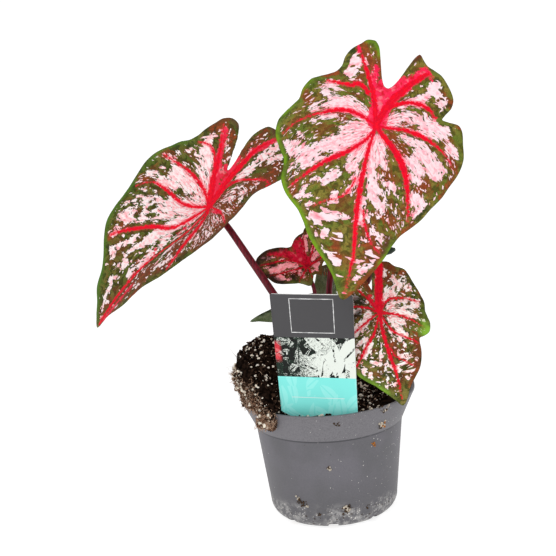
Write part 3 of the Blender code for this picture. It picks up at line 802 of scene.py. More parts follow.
@dataclass(frozen=True)
class LeafFinish:
    """Colours of one leaf, and how its marks are drawn.

    Torn is how ragged the blotches' edges are, flecks and browned and mottled are amounts, collar
    is how far a faint line runs inside the margin, lime_reach and border are widths along the
    margin in millimetres, and near scales the blush beside the red bands.
    """

    name: str
    seed: float
    pink: Colour
    pale_pink: Colour
    green: Colour
    bright_green: Colour
    dark_green: Colour
    brown: Colour
    red: Colour
    deep_red: Colour
    web: Colour
    lime: Colour
    # Brown on the front and left leaves, near-black painted shade on the low, back and green leaves.
    brown_and_shade: Colour
    under: Colour
    edge_green: Colour = srgb(84, 112, 44)
    rust: Colour = srgb(158, 66, 38)
    halo: Colour = srgb(40, 52, 28)
    torn: float = 1.0
    flecks: float = 0.0
    browned: float = 0.55
    collar: float = 7.0
    lime_reach: float = 3.6
    near: float = 1.0
    mottled: float = 0.8
    border: float = 2.2

    def _lay_out(self, desk: NodeDesk) -> tuple[object, ...]:
        """What both faces of the blade read.

        Args:
            desk: The material's desk.

        Returns:
            The plan, the run along the veins, that run moved for this leaf, the marks and the
            tints, the marks' channels, and the torn edge of the pale blotches.
        """
        shift = (self.seed, self.seed * 0.7, self.seed * 1.3)
        run = desk.laid("flow")
        plan, flow = desk.move(desk.laid("plan"), shift), desk.move(run, shift)
        marks, tints = desk.painted("marks"), desk.painted("tints")
        mark = desk.split(marks["Color"])
        edge = desk.group(SharedEffects.mosaic_edge(), {
            "Field": mark[0], "Flow": flow, "Coarse": 1.5 * self.torn, "Fine": 0.9 * self.torn})
        return plan, run, flow, marks, tints, mark, edge

    def upper(self) -> Material:
        """The upper face: pale blotches on green, red bands along the veins, a green margin.

        Returns:
            The material.
        """
        made, desk = start_material(self.name + "_upper", 0.42, 0.05)
        plan, run, flow, marks, tints, mark, edge = self._lay_out(desk)
        out, tint = desk.axes(run)[1], desk.split(tints["Color"])
        rim, lateral = marks["Alpha"], desk.math("ABSOLUTE", tints["Alpha"])
        patch_chance, speck_chance = desk.split(edge["Patch"]), desk.split(edge["Speck"])
        wide = desk.noise(plan, 0.13, 2.0, 0.5, 0.5)
        middle = desk.noise(plan, 0.42, 3.0, 0.6)
        cells = desk.noise(plan, 1.9, 2.0, 0.7)
        broken = desk.ramp(middle, 0.42, 0.6)
        side_vein = desk.times(desk.ramp(lateral, 0.0, 0.085, 1.0, 0.0), broken)

        green = desk.mix(desk.ramp(wide, 0.36, 0.62), self.green, self.bright_green)
        shaded = desk.noise(plan, 0.26, 2.0, 0.5, 0.6)
        green = desk.mix(desk.ramp(shaded, 0.46, 0.58, 0.0, self.mottled), green, self.dark_green)
        fresh = desk.times(desk.ramp(rim, 0.0, 7.0, 0.6, 0.0),
                           desk.ramp(tint[0], -11.5, -3.0, 0.15, 1.0))
        green = desk.mix(fresh, green, self.edge_green)
        patch = desk.plus(desk.noise(flow, 0.5), desk.times(patch_chance[2], 0.12))
        patch = desk.ramp(patch, 0.53, 0.68, 0.0, self.browned)
        near_red = desk.times(desk.ramp(mark[2], -3.4 * self.near, 0.0, 0.0, 0.75),
                              desk.ramp(cells, 0.35, 0.6))
        browning = desk.times(desk.most(patch, near_red), desk.ramp(rim, 1.5, 8.0, 0.15, 1.0))
        green = desk.mix(browning, green, self.brown)
        streaks = desk.noise(desk.stretch(flow, (1.0, 0.7, 1.0), (3.0, 41.0, 8.0)), 2.2, 3.0, 0.65)
        ruddy = desk.ramp(desk.plus(tint[2], desk.sway(streaks, 9.0)), -1.0, 1.6)
        stain = desk.mix(desk.ramp(streaks, 0.5, 0.62), self.brown, self.rust)
        green = desk.mix(desk.times(ruddy, 0.8), green, stain)
        collar = desk.ramp(desk.gap(rim, self.collar), 0.1, 0.55, 0.6, 0.0)
        rust = desk.most(desk.times(side_vein, 0.62), desk.times(collar, broken))
        green = desk.mix(rust, green, self.rust)
        green = desk.mix(1.0, green, desk.ramp(cells, 0.3, 0.7, 0.7, 1.26), "MULTIPLY")
        halo = desk.times(desk.ramp(edge["Torn"], -1.1, -0.3), desk.ramp(wide, 0.45, 0.55))
        green = desk.mix(desk.times(halo, 0.7), green, self.halo)

        crowd = desk.plus(desk.ramp(desk.noise(plan, 0.11), 0.38, 0.6, 0.008, 0.07),
                          desk.ramp(tint[2], -2.0, 1.0, self.flecks, 0.1))
        stray = desk.times(desk.under(speck_chance[1], crowd), desk.ramp(rim, 2.2, 3.0))
        holes = desk.over(speck_chance[2], 0.035)
        inner = desk.ramp(desk.plus(rim, desk.times(middle, 5.0)),
                          self.border + 2.4, self.border + 2.8)
        pale = desk.most(desk.times(desk.times(edge["Mask"], holes), inner), stray)
        tone = desk.plus(desk.times(patch_chance[1], 0.35), middle)
        pink = desk.mix(desk.ramp(tone, 0.42, 0.72, 0.25, 1.0), self.pink, self.pale_pink)
        flush = desk.times(desk.ramp(out, 1.2, 5.0, 0.75, 0.15), desk.ramp(streaks, 0.5, 0.6))
        flush = desk.most(desk.ramp(desk.noise(flow, 1.4, 3.0, 0.6), 0.54, 0.7, 0.0, 0.5), flush)
        blush = desk.plus(mark[2], desk.sway(streaks, 10.0 * self.near))
        for share in (flush, desk.times(side_vein, 0.55),
                      desk.ramp(blush, -2.6 * self.near, 0.2, 0.0, 0.65)):
            pink = desk.mix(share, pink, self.web)
        colour = desk.mix(pale, green, pink)

        webbing = desk.plus(mark[1], desk.sway(desk.noise(plan, 0.5, 4.0, 0.7), 10.0))
        web = desk.mix(desk.ramp(desk.noise(plan, 0.33, 3.0, 0.6), 0.32, 0.5), self.deep_red, self.web)
        web = desk.mix(desk.ramp(desk.noise(plan, 0.21), 0.55, 0.7, 0.0, 0.45), web, self.pink)
        web = desk.mix(desk.ramp(cells, 0.66, 0.74, 0.0, 0.12), web, self.brown)
        colour = desk.mix(desk.ramp(webbing, -0.4, 1.0, 0.0, 0.94), colour, web)
        band = desk.plus(mark[2], desk.sway(desk.noise(plan, 0.6, 3.0, 0.65), 4.0))
        colour = desk.mix(desk.ramp(band, -0.9 * self.near, 0.1, 0.0, 0.7), colour, self.web)
        red = desk.mix(desk.ramp(desk.noise(plan, 0.4, 3.0, 0.6), 0.36, 0.62), self.deep_red, self.red)
        colour = desk.mix(desk.ramp(band, -0.25, 0.2), colour, red)

        lime = desk.times(desk.ramp(tint[0], -3.0, 1.5),
                          desk.ramp(rim, self.lime_reach * 0.2, self.lime_reach, 1.0, 0.0))
        lime = desk.times(lime, desk.ramp(wide, 0.34, 0.6, 0.45, 0.95))
        colour = desk.mix(lime, colour, self.lime)
        # Brown marks, and near-black painted shade on the low, back and green leaves.
        brown_and_shade = desk.plus(tint[1], desk.sway(middle, 6.0))
        colour = desk.mix(desk.ramp(brown_and_shade, -2.5, 2.0, 0.0, 0.85), colour, self.brown_and_shade)
        desk.feed("Base Color", desk.mix(desk.ramp(rim, 0.1, 0.45, 0.6, 0.0), colour, self.halo))

        desk.feed("Roughness", desk.plus(desk.times(middle, 0.2), 0.32))
        desk.bump(desk.plus(desk.times(desk.grain(plan, 0.8, 0.4), 0.35),
                            desk.ramp(lateral, 0.0, 0.16, 0.0, 0.5)), 0.35, 0.0005)
        return made

    def underside(self) -> Material:
        """The underside: the same marks, washed out and dull.

        Returns:
            The material.
        """
        made, desk = start_material(self.name + "_underside", 0.6, 0.05)
        plan, _, _, _, tints, mark, edge = self._lay_out(desk)
        dull = desk.mix(desk.ramp(desk.noise(plan, 0.35, 3.0), 0.35, 0.65), self.under, self.green)
        colour = desk.mix(desk.times(edge["Mask"], 0.6), dull, self.pink)
        colour = desk.mix(desk.ramp(mark[1], -1.0, 3.0, 0.0, 0.5), colour, self.deep_red)
        colour = desk.mix(desk.ramp(mark[2], -0.8, 0.4, 0.0, 0.75), colour, self.deep_red)
        desk.feed("Base Color", colour)
        line = desk.ramp(desk.math("ABSOLUTE", tints["Alpha"]), 0.0, 0.16, 0.6, 0.0)
        desk.bump(desk.plus(desk.times(desk.grain(plan, 0.8, 0.4), 0.4), line), 0.4, 0.0006)
        return made

    def vein(self) -> Material:
        """The raised veins: bright red, a little uneven, with a soft shine.

        Returns:
            The material.
        """
        made, desk = start_material(self.name + "_vein", 0.38, 0.08)
        place = desk.millimetres()
        uneven = desk.noise(place, 0.4, 3.0, 0.6)
        colour = desk.mix(desk.ramp(uneven, 0.35, 0.65), self.deep_red, self.red)
        run = desk.plus(desk.painted("faded")["Fac"], desk.times(uneven, 0.2))
        desk.feed("Base Color", desk.mix(desk.ramp(run, 0.86, 1.08, 0.0, 0.75), colour, self.brown))
        desk.bump(desk.grain(place, 1.2, 0.5), 0.2, 0.0003)
        return made


@dataclass
class Leaf:
    """One leaf: its blade and its raised veins."""

    form: LeafForm
    finish: LeafFinish
    slot: str = "variegated_blade"
    vein_slot: str | None = "red_veins"
    groove: float = 0.45
    pucker: float = 0.32
    lateral_step: float = 6.5
    crown: float = 0.32

    def _relief(self, a: Array, b: Array) -> tuple[Array, Array, Array]:
        """Grooves along the veins and soft puckers between them.

        Args:
            a: Plan coordinate across the leaf.
            b: Plan coordinate towards the tip.

        Returns:
            The height, the depth inside the veins' red bands, and the side veins' phase.
        """
        best = np.full(a.shape, FAR)
        band = np.full(a.shape, OUTSIDE)
        phase = np.zeros(a.shape)
        groove = np.zeros(a.shape)
        for vein in self.form.veins:
            share, va, vb = self.form.vein_line(vein, 50)
            walk = np.concatenate(([0.0], np.cumsum(np.hypot(np.diff(va), np.diff(vb)))))
            gap = np.hypot(a[:, None] - va, b[:, None] - vb)
            nearest = gap.argmin(axis=1)
            distance = gap[np.arange(len(a)), nearest]
            run, wide = walk[nearest], vein.half_band(share)[nearest]
            band = np.maximum(band, wide - distance)
            fade = np.clip((vein.end - share[nearest]) / 0.3, 0.15, 1.0)
            groove = np.minimum(groove, -self.groove * fade * np.exp(-(distance / 2.6) ** 2))
            closer = distance < best
            best = np.where(closer, distance, best)
            phase = np.where(closer, (run - 0.75 * distance) / self.lateral_step, phase)
        lateral = 1.0 - np.abs(phase - np.floor(phase) - 0.5) * 2
        swell = self.pucker * np.sin(np.pi * np.clip(lateral, 0, 1)) * np.clip(best / 7.0, 0, 1)
        return groove + swell, band, lateral

    def _marks(self, streaks: tuple[Streak, ...], a: Array, b: Array) -> Array:
        """Depth inside the nearest streak, in millimetres; less than 0 outside.

        Args:
            streaks: The streaks.
            a: Plan coordinate across the leaf.
            b: Plan coordinate towards the tip.

        Returns:
            The depth at each point.
        """
        depth = np.full(a.shape, OUTSIDE)
        for angle1, reach1, angle2, reach2, wide in streaks:
            start, end = np.array(polar(reach1, angle1)), np.array(polar(reach2, angle2))
            run = end - start
            size = max(float(run.dot(run)), 1e-6)
            t = np.clip(((a - start[0]) * run[0] + (b - start[1]) * run[1]) / size, 0, 1)
            gap = np.hypot(a - start[0] - t * run[0], b - start[1] - t * run[1])
            depth = np.maximum(depth, wide - gap)
        return np.clip(depth, -12.0, 12.0)

    def _rim(self, a: Array, b: Array) -> Array:
        """Distance of each plan place to the margin, in millimetres."""
        angle = np.linspace(0, 360, 700)
        ma, mb = polar(self.form.reach(angle), angle)
        nearest = np.full(a.shape, FAR)
        batch = 4000
        for start in range(0, len(a), batch):
            part = slice(start, start + batch)
            nearest[part] = np.hypot(a[part, None] - ma, b[part, None] - mb).min(axis=1)
        return nearest

    def _flow(self, angle: Array, share: Array) -> Array:
        """Each point's turn followed along the veins to half way out, in steps of 30 degrees.

        Args:
            angle: Each point's angle.
            share: Its share of the reach.

        Returns:
            The steps.
        """
        def turns(level: float) -> Array:
            """The veins' angles at this share of the reach, for four rounds."""
            once = np.array([float(vein.angle(np.array([level]))[0]) for vein in self.form.veins])
            return np.concatenate((once - 360, once, once + 360, once + 720))

        place = np.zeros(angle.shape)
        steps = turns(0.5) / 30.0
        for level in np.unique(share):
            row = share == level
            around = turns(level)
            around = np.maximum.accumulate(around + np.arange(len(around)) * 1e-6)
            place[row] = np.interp(angle[row], around, steps)
        return place

    def build_blade(self) -> Piece:
        """The blade: a disc of spokes and rings bent into the leaf's form, given a thickness.

        Returns:
            The blade.
        """
        form = self.form
        piece, around, out = add_grid(form.name + "_blade_skin", form.spokes, form.rings)
        angle = form.spoke_angles(around)
        run = out * form.reach(angle)
        a, b = polar(run, angle)
        relief, band, lateral = self._relief(a, b)
        rim = self._rim(a, b)
        relief *= np.clip(rim / 3.0, 0.0, 1.0)
        bend(piece, form.place(a, b, relief))
        pale, web, gaps, lime, brown_and_shade, ruddy, thin_streaks = (
            self._marks(streaks, a, b) for streaks in (
                form.pale, form.web, form.gaps, form.lime, form.brown_and_shade, form.ruddy, form.fanned()))
        pale = np.maximum(np.minimum(pale, -gaps), thin_streaks)
        paint(piece, "marks", pale, web, band, rim)
        paint(piece, "tints", lime, brown_and_shade, ruddy, lateral)
        lay_map(piece, "plan", a, b)
        lay_map(piece, "flow", self._flow(angle, out) * form.patches[0], run / form.patches[1])
        thin = piece.vertex_groups.new(name="thin")
        for share in (0.0, 0.25, 0.5, 0.75, 1.0):
            rows = np.nonzero(np.abs(np.clip(rim / 2.5, 0, 1) - share) <= 0.125)[0]
            thin.add([int(i) for i in rows], share, "REPLACE")
        edit_all(piece, weld)
        normal = sum((np.array(p.normal) for p in piece.data.polygons), np.zeros(3))
        if normal.dot(form.up) < 0:
            edit_all(piece, bpy.ops.mesh.flip_normals)
        piece.data.materials.append(self.finish.upper())
        piece.data.materials.append(self.finish.underside())
        apply_modifier(piece, "SOLIDIFY", thickness=form.thickness * MM, offset=-1.0,
                       vertex_group="thin", thickness_vertex_group=0.35, material_offset=1,
                       material_offset_rim=0)
        smooth_all(piece)
        return piece

    def _ridge(self, number: int, vein: Vein) -> Piece:
        """One vein: a flat ridge above the blade that is a deeper rib below it.

        Args:
            number: The vein's place in the leaf's list.
            vein: The vein.

        Returns:
            The ridge.
        """
        form = self.form
        piece, around, t = add_grid("%s_ridge_%d" % (form.name, number), 14, 46)
        count = 300
        _, va, vb = form.vein_line(vein, count)
        way_a, way_b = np.gradient(va), np.gradient(vb)
        size = np.hypot(way_a, way_b)
        grid = np.linspace(0, 1, count)
        pa, pb, na, nb = (np.interp(t, grid, row) for row in (va, vb, way_b / size, -way_a / size))
        taper = (1 - t) ** 0.55 * (0.35 + 0.65 * (1 - t))
        if vein.start:
            taper *= np.clip(t / 0.08, 0, 1) ** 0.5
        angle = around * 2 * math.pi
        across = vein.ridge / 2 * taper * np.cos(angle)
        lift, sink = np.sin(angle), -np.sin(angle)
        body = form.thickness + form.rib * (1 - t) ** 0.8 * min(1.0, vein.ridge / 2.0)
        rise = np.where(lift > 0, self.crown * np.abs(lift) ** 0.7 * taper ** 0.5,
                        -body * np.abs(sink) ** 0.8 * np.clip(taper * 3, 0, 1))
        a, b = pa + across * na, pb + across * nb
        relief, centre = self._relief(a, b)[0], self._relief(pa, pb)[0]
        bend(piece, form.place(a, b, centre * 0.6 + relief * 0.4 + rise))
        paint(piece, "faded", t, t, t, np.ones_like(t))
        edit_all(piece, weld, outward)
        return piece

    def build_veins(self) -> Piece:
        """All the leaf's ridges, as one piece.

        Returns:
            The veins.
        """
        ridges = [self._ridge(number, vein) for number, vein in enumerate(self.form.veins)]
        veins = join(ridges, self.form.name + "_vein_ridges")
        veins.data.materials.clear()
        veins.data.materials.append(self.finish.vein())
        smooth_all(veins)
        return veins

    def build(self) -> None:
        """Make the leaf and hang it on the model."""
        name = self.form.name
        finish_piece(self.build_blade(), self.slot, name + "_blade")
        if self.vein_slot:
            finish_piece(self.build_veins(), self.vein_slot, name + "_veins")


FRONT_FORM = LeafForm(
    name="front_leaf", junction=(42.8, -22, 269.3), tip=(11.1, -70, 166.3),
    faces=(0, -0.90, 0.40), arch=8, droop=6, half=70, rise=-0.05,
    wave=(2, 7, 60), wave_reach=62, notch=177, trim=0.989,
    margin=(
        (0, 118), (3, 113), (5.5, 107), (9.5, 98.3), (14, 89.3), (18, 81.5), (22.5, 76), (28, 73),
        (35, 70), (43, 66.5), (51, 65), (60, 63), (70, 62.5), (80, 61.5), (90, 58.5), (98, 57),
        (102.5, 54.5), (105, 48), (107.5, 44), (111, 46.5), (116, 52), (123, 55.5), (131, 56.5),
        (139, 57), (146, 55.5), (151, 54.5), (156, 56), (160, 58), (162, 54), (163, 48), (165, 37),
        (169, 30), (174, 27.5), (179, 28.5), (183.5, 34), (186, 44), (188, 56), (191, 60.5), (195, 61),
        (200, 58.5), (207, 56), (213, 52.5), (219, 47.5), (224, 46.5), (230, 48), (237, 51.5),
        (243, 54.5), (251, 55), (259, 54), (265, 56.5), (271, 60.5), (277, 64.5), (285, 66), (293, 65),
        (301, 64.5), (306, 67), (312, 72.5), (320, 75.5), (328, 76.5), (334, 80), (340, 86.5),
        (346, 92.5), (351, 98), (355, 105)),
    veins=(
        Vein((-8, -5, -2, 1, 0), 1.5, (0.8, 1.6, 0.4), end=0.955),
        Vein((-2, 0, 2, 7, 14), 0.5, (0.4, 0.3, 0.1), start=0.52),
        Vein((44, 46, 42, 33, 26), 1.4, (1.2, 2.1, 0.2)),
        Vein((91, 94, 89, 80, 68), 1.1, (0.5, 1.3, 0)),
        Vein((155, 156, 137, 115, 107), 0.9, (1, 1.2, 0.3), start=0.27, end=0.9),
        Vein((169, 163, 156, 151, 146), 1.6, (2.2, 2.4, 1.2)),
        Vein((193, 193, 197, 200, 202), 1.4, (1.8, 1.4, 0.2)),
        Vein((204, 201, 206, 224, 243), 0.9, (1, 1.3, 0.4), start=0.4, end=0.9),
        Vein((238, 244, 256, 273, 290), 1.1, (0.7, 1.3, 0)),
        Vein((345, 329, 319, 317, 318), 1.2, (0.8, 1.4, 0.1)),
        Vein((345, 349, 349, 337, 331), 0.5, (0.4, 0.2, 0), start=0.4, end=0.85)),
    pale=(
        (342, 12, 340, 32, 5), (350, 34, 350, 50, 2.6), (333, 41, 328, 50, 3.4),
        (328, 50, 323, 57, 2.8), (343, 43, 348, 47, 2), (341, 54, 342, 57, 3.2),
        (325, 66, 325, 67, 1.2), (328, 71, 328, 72, 1.2), (353, 65, 341, 70, 2.8),
        (337, 73, 342, 76, 2.2), (346, 77, 346, 81, 2.4), (342, 82, 343, 84, 1.8),
        (347, 87, 348, 89, 1.5), (349, 91, 355, 94, 2), (352, 100, 352, 103, 0.9),
        (12, 12, 12, 28, 6.5), (5, 32, 7, 48, 4.6), (9, 50, 14, 57, 3.4), (1, 52, 1, 66, 3),
        (18, 40, 25, 44, 2.8), (27, 51, 27, 53, 1.2), (21, 61, 23, 63, 1.6), (38, 55, 39, 62, 4.6),
        (43, 41, 46, 46, 3.8), (33, 64, 34, 66, 1.5), (8, 73, 15, 76, 2.2), (7, 86, 9, 90, 1.7),
        (7, 95, 5, 99, 1.7), (4, 103, 3, 106, 1.6), (50, 30, 52, 41, 4.6), (76, 20, 76, 30, 3.4),
        (72, 34, 62, 50, 6.2), (85, 50, 81, 57, 3.6), (91, 46, 88, 50, 2), (101, 30, 98, 42, 7),
        (104, 42, 112, 46, 3), (118, 10, 118, 22, 4.6), (110, 24, 108, 32, 5), (138, 22, 137, 34, 2.6),
        (133, 34, 130, 44, 5), (124, 45, 119, 52, 3.4), (140, 46, 136, 50, 2), (312, 9, 307, 50, 7),
        (300, 50, 299, 58, 4.4), (292, 59, 294, 52, 2.6), (287, 50, 289, 48, 1.8),
        (283, 54, 284, 55, 1.2), (280, 9, 290, 20, 5), (267, 29, 271, 36, 2.4), (276, 39, 276, 41, 1.9),
        (272, 58, 273, 59, 1.5), (266, 57, 266, 58, 1.2), (238, 8, 240, 40, 5.6),
        (246, 36, 240, 44, 3.4), (264, 43, 253, 33, 2.8), (249, 22, 252, 32, 3.6),
        (212, 40, 208, 46, 4.8), (216, 44, 218, 48, 3), (205, 50, 207, 57, 2.2)),
    gaps=(
        (126, 39, 126, 41, 2.6), (233, 30, 238, 33, 1.9), (241, 36, 240, 38, 1.5),
        (339, 39, 343, 41, 1.8), (62, 24, 55, 27, 2), (346, 74, 352, 75, 2.2), (14, 31, 20, 36, 2.6),
        (104, 19, 100, 25, 1.8), (245, 47, 236, 47, 2.2), (70, 12, 62, 20, 2.2),
        (314, 36, 310, 40, 0.8), (7, 58, 9, 64, 2)),
    ruddy=(
        (66, 12, 54, 28, 3.4), (20, 32, 22, 40, 3.4), (14, 60, 20, 68, 4), (48, 50, 40, 53, 3.4),
        (189, 30, 187, 50, 4.4), (196, 42, 199, 57, 4), (162, 56, 159, 58, 2.5),
        (124, 48, 116, 54, 4.5), (258, 46, 254, 54, 3.6), (6, 72, 10, 90, 5.5), (88, 46, 72, 58, 2.6),
        (236, 52, 226, 46, 2.4), (318, 66, 322, 72, 3), (352, 78, 354, 92, 3), (262, 27, 268, 22, 3),
        (205, 36, 214, 33, 3), (111, 47, 100, 56, 1.6), (70, 60, 50, 64, 1.8), (30, 70, 22, 76, 2.4),
        (100, 22, 108, 18, 2.6), (9, 97, 2, 115, 2.4)),
    feathers=(
        (0, 12, 52, 84, 22), (14, 36, 42, 70, 18), (300, 316, 54, 70, 12), (320, 342, 60, 80, 12)),
    web=(
        (180, 4, 177, 27, 7), (168, 22, 158, 34, 5.5), (156, 36, 150, 50, 3.2), (146, 51, 141, 49, 1.2),
        (194, 28, 190, 40, 2.4), (203, 52, 202, 56, 1.4)),
    lime=(
        (285, 66, 300, 65, 6), (312, 72, 328, 77, 6), (328, 77, 346, 93, 6), (346, 93, 355, 105, 1.6),
        (17, 83, 12.5, 91, 1.6), (188, 50, 195, 61, 2.4), (243, 55, 271, 61, 2)),
    brown_and_shade=((13, 86, 16, 76, 1.2), (163, 50, 160, 55, 1.4)),
)

LEFT_FORM = LeafForm(
    name="left_leaf", junction=(-70.7, 30, 214.4), tip=(-153.8, -4, 143.6),
    faces=(-0.45, -0.68, 0.58), arch=8, fold=16, half=60, rise=0.25,
    twist=0.004, wave=(2, 6, 20), wave_reach=60, notch=193, trim=0.992,
    margin=(
        (0, 114), (2, 104), (6, 98.5), (10, 93), (12, 86), (15, 78), (19, 73), (23, 68.5), (28, 60.5),
        (34, 52.5), (41, 47), (49, 42), (58, 38.5), (67, 34), (77, 30.5), (88, 28), (102, 28.5),
        (116, 31), (126, 34.5), (131, 40), (133, 50), (135, 59), (141, 65.5), (150, 69), (160, 70),
        (170, 69), (178, 67), (182, 60), (185, 50), (186, 40), (187, 33), (190, 27.5), (192.4, 27.2),
        (193, 34), (193.2, 42), (193.5, 51), (196, 57.5), (201, 59), (207, 58), (213, 55), (221, 51.5),
        (229, 48), (236, 47), (244, 48.5), (252, 50), (260, 53.5), (268, 57.5), (276, 60), (284, 60.5),
        (293, 61), (301, 63), (309, 68), (317, 74.5), (325, 78.5), (332, 82), (338, 87), (344, 96.5),
        (350, 102), (355, 108.5)),
    veins=(
        Vein((14, 12, -1, -2, 0), 1.3, (0.3, 0.7, 1.5), end=0.97),
        Vein((34, 29, 24, 24, 25), 1.1, (0.5, 1.3, 0.5)),
        Vein((96, 95, 90, 84, 78), 0.8, (0.3, 0.2, 0)),
        Vein((175, 176, 152, 138, 131), 1, (0.8, 0.6, 0.3), end=0.9),
        Vein((198, 187, 179, 175, 166), 1.6, (2, 1.9, 0.6)),
        Vein((221, 215, 209, 207, 206), 1.6, (2.4, 1.7, 0)),
        Vein((229, 222, 213, 217, 236), 0.8, (0.5, 0.4, 0.2), start=0.52, end=0.92),
        Vein((244, 241, 248, 257, 263), 1.2, (0.7, 1, 0.1)),
        Vein((315, 306, 290, 285, 296), 1.2, (0.8, 1.1, 0)),
        Vein((348, 347, 332, 326, 324), 1.4, (0.6, 1.4, 0.5))),
    pale=(
        (228, 9, 229, 34, 5.6), (222, 30, 219, 50, 4.6), (240, 41, 240, 47, 2.4),
        (233, 40, 232, 43, 1.6), (215, 53, 214, 57, 1.4), (266, 9, 264, 33, 6.4),
        (278, 26, 281, 42, 4.2), (262, 38, 258, 46, 2.4), (277, 48, 280, 53, 2.4),
        (270, 44, 271, 46, 1.2), (318, 10, 308, 48, 7.2), (322, 28, 318, 58, 4.2),
        (307, 50, 309, 64, 2.2), (314, 58, 317, 64, 2), (295, 38, 294, 41, 1.4),
        (300, 50, 302, 53, 1.4), (346, 16, 342, 48, 5.2), (335, 52, 333, 76, 2.2),
        (343, 50, 338, 66, 3), (352, 38, 356, 60, 4.2), (345, 71, 347, 82, 3.8),
        (352, 68, 355, 74, 2.2), (350, 88, 352, 94, 2.4), (354, 98, 356, 104, 0.9),
        (166, 28, 165, 62, 3.4), (157, 50, 155, 60, 2.5), (0, 10, 2, 36, 1.4)),
    gaps=(
        (236, 31, 236, 33, 1.6), (232, 38, 231, 39, 1), (283, 22, 282, 25, 1.8),
        (277, 15, 278, 16, 1.2), (311, 38, 312, 41, 1.7), (319, 41, 319, 38, 1.5),
        (316, 50, 312, 48, 2.2), (308, 51, 309, 54, 2), (297, 32, 297, 33, 1.2),
        (303, 50, 303, 51, 1.2), (304, 40, 305, 42, 1.2), (337, 61, 337, 66, 1.8),
        (335, 54, 335, 57, 1.2), (345, 76, 346, 79, 1.7), (226, 22, 226, 23, 0.8),
        (343, 30, 343, 31, 0.8), (352, 44, 352, 46, 1.4), (165, 44, 165, 46, 1)),
    ruddy=(
        (20, 22, 20, 58, 6), (45, 8, 45, 38, 8), (75, 8, 75, 28, 8), (105, 10, 108, 28, 6),
        (138, 12, 140, 48, 6.5), (130, 50, 150, 56, 4), (197, 34, 198, 50, 3), (183, 40, 178, 62, 3.4),
        (256, 44, 262, 54, 3.4), (282, 48, 286, 56, 3), (322, 60, 325, 72, 3.4), (3, 64, 3, 104, 6),
        (10, 60, 12, 84, 4), (355, 94, 356, 104, 2), (214, 50, 205, 58, 4), (352, 62, 358, 70, 3)),
    feathers=(
        (118, 158, 9, 40, 40), (60, 112, 8, 25, 16), (28, 58, 14, 42, 22), (8, 20, 30, 60, 14),
        (16, 30, 44, 64, 10), (198, 205, 34, 58, 8), (177, 185, 40, 62, 7), (246, 262, 34, 56, 14),
        (268, 300, 46, 66, 12), (330, 352, 60, 86, 10), (318, 328, 60, 72, 8)),
    web=(
        (205, 5, 207, 30, 3.4), (208, 30, 204, 50, 2.4), (192, 12, 186, 36, 2.8),
        (178, 44, 170, 60, 2.4), (199, 20, 196, 28, 2.4), (4, 78, 1, 106, 2.2), (354, 47, 358, 52, 1.2),
        (24, 20, 24, 50, 0.8), (0, 12, 0, 30, 0.8), (70, 6, 90, 12, 2)),
    lime=(
        (324, 79, 338, 88, 2.4), (301, 64, 317, 75, 1.8), (338, 88, 355, 109, 1.6),
        (236, 48, 262, 54, 0.4), (262, 54, 301, 63, 0.8)),
    brown_and_shade=(
        (200, 58, 196, 56, 1.6), (148, 68, 175, 68, 2.4), (88, 30, 50, 44, 2.6), (88, 28, 130, 38, 2)),
)

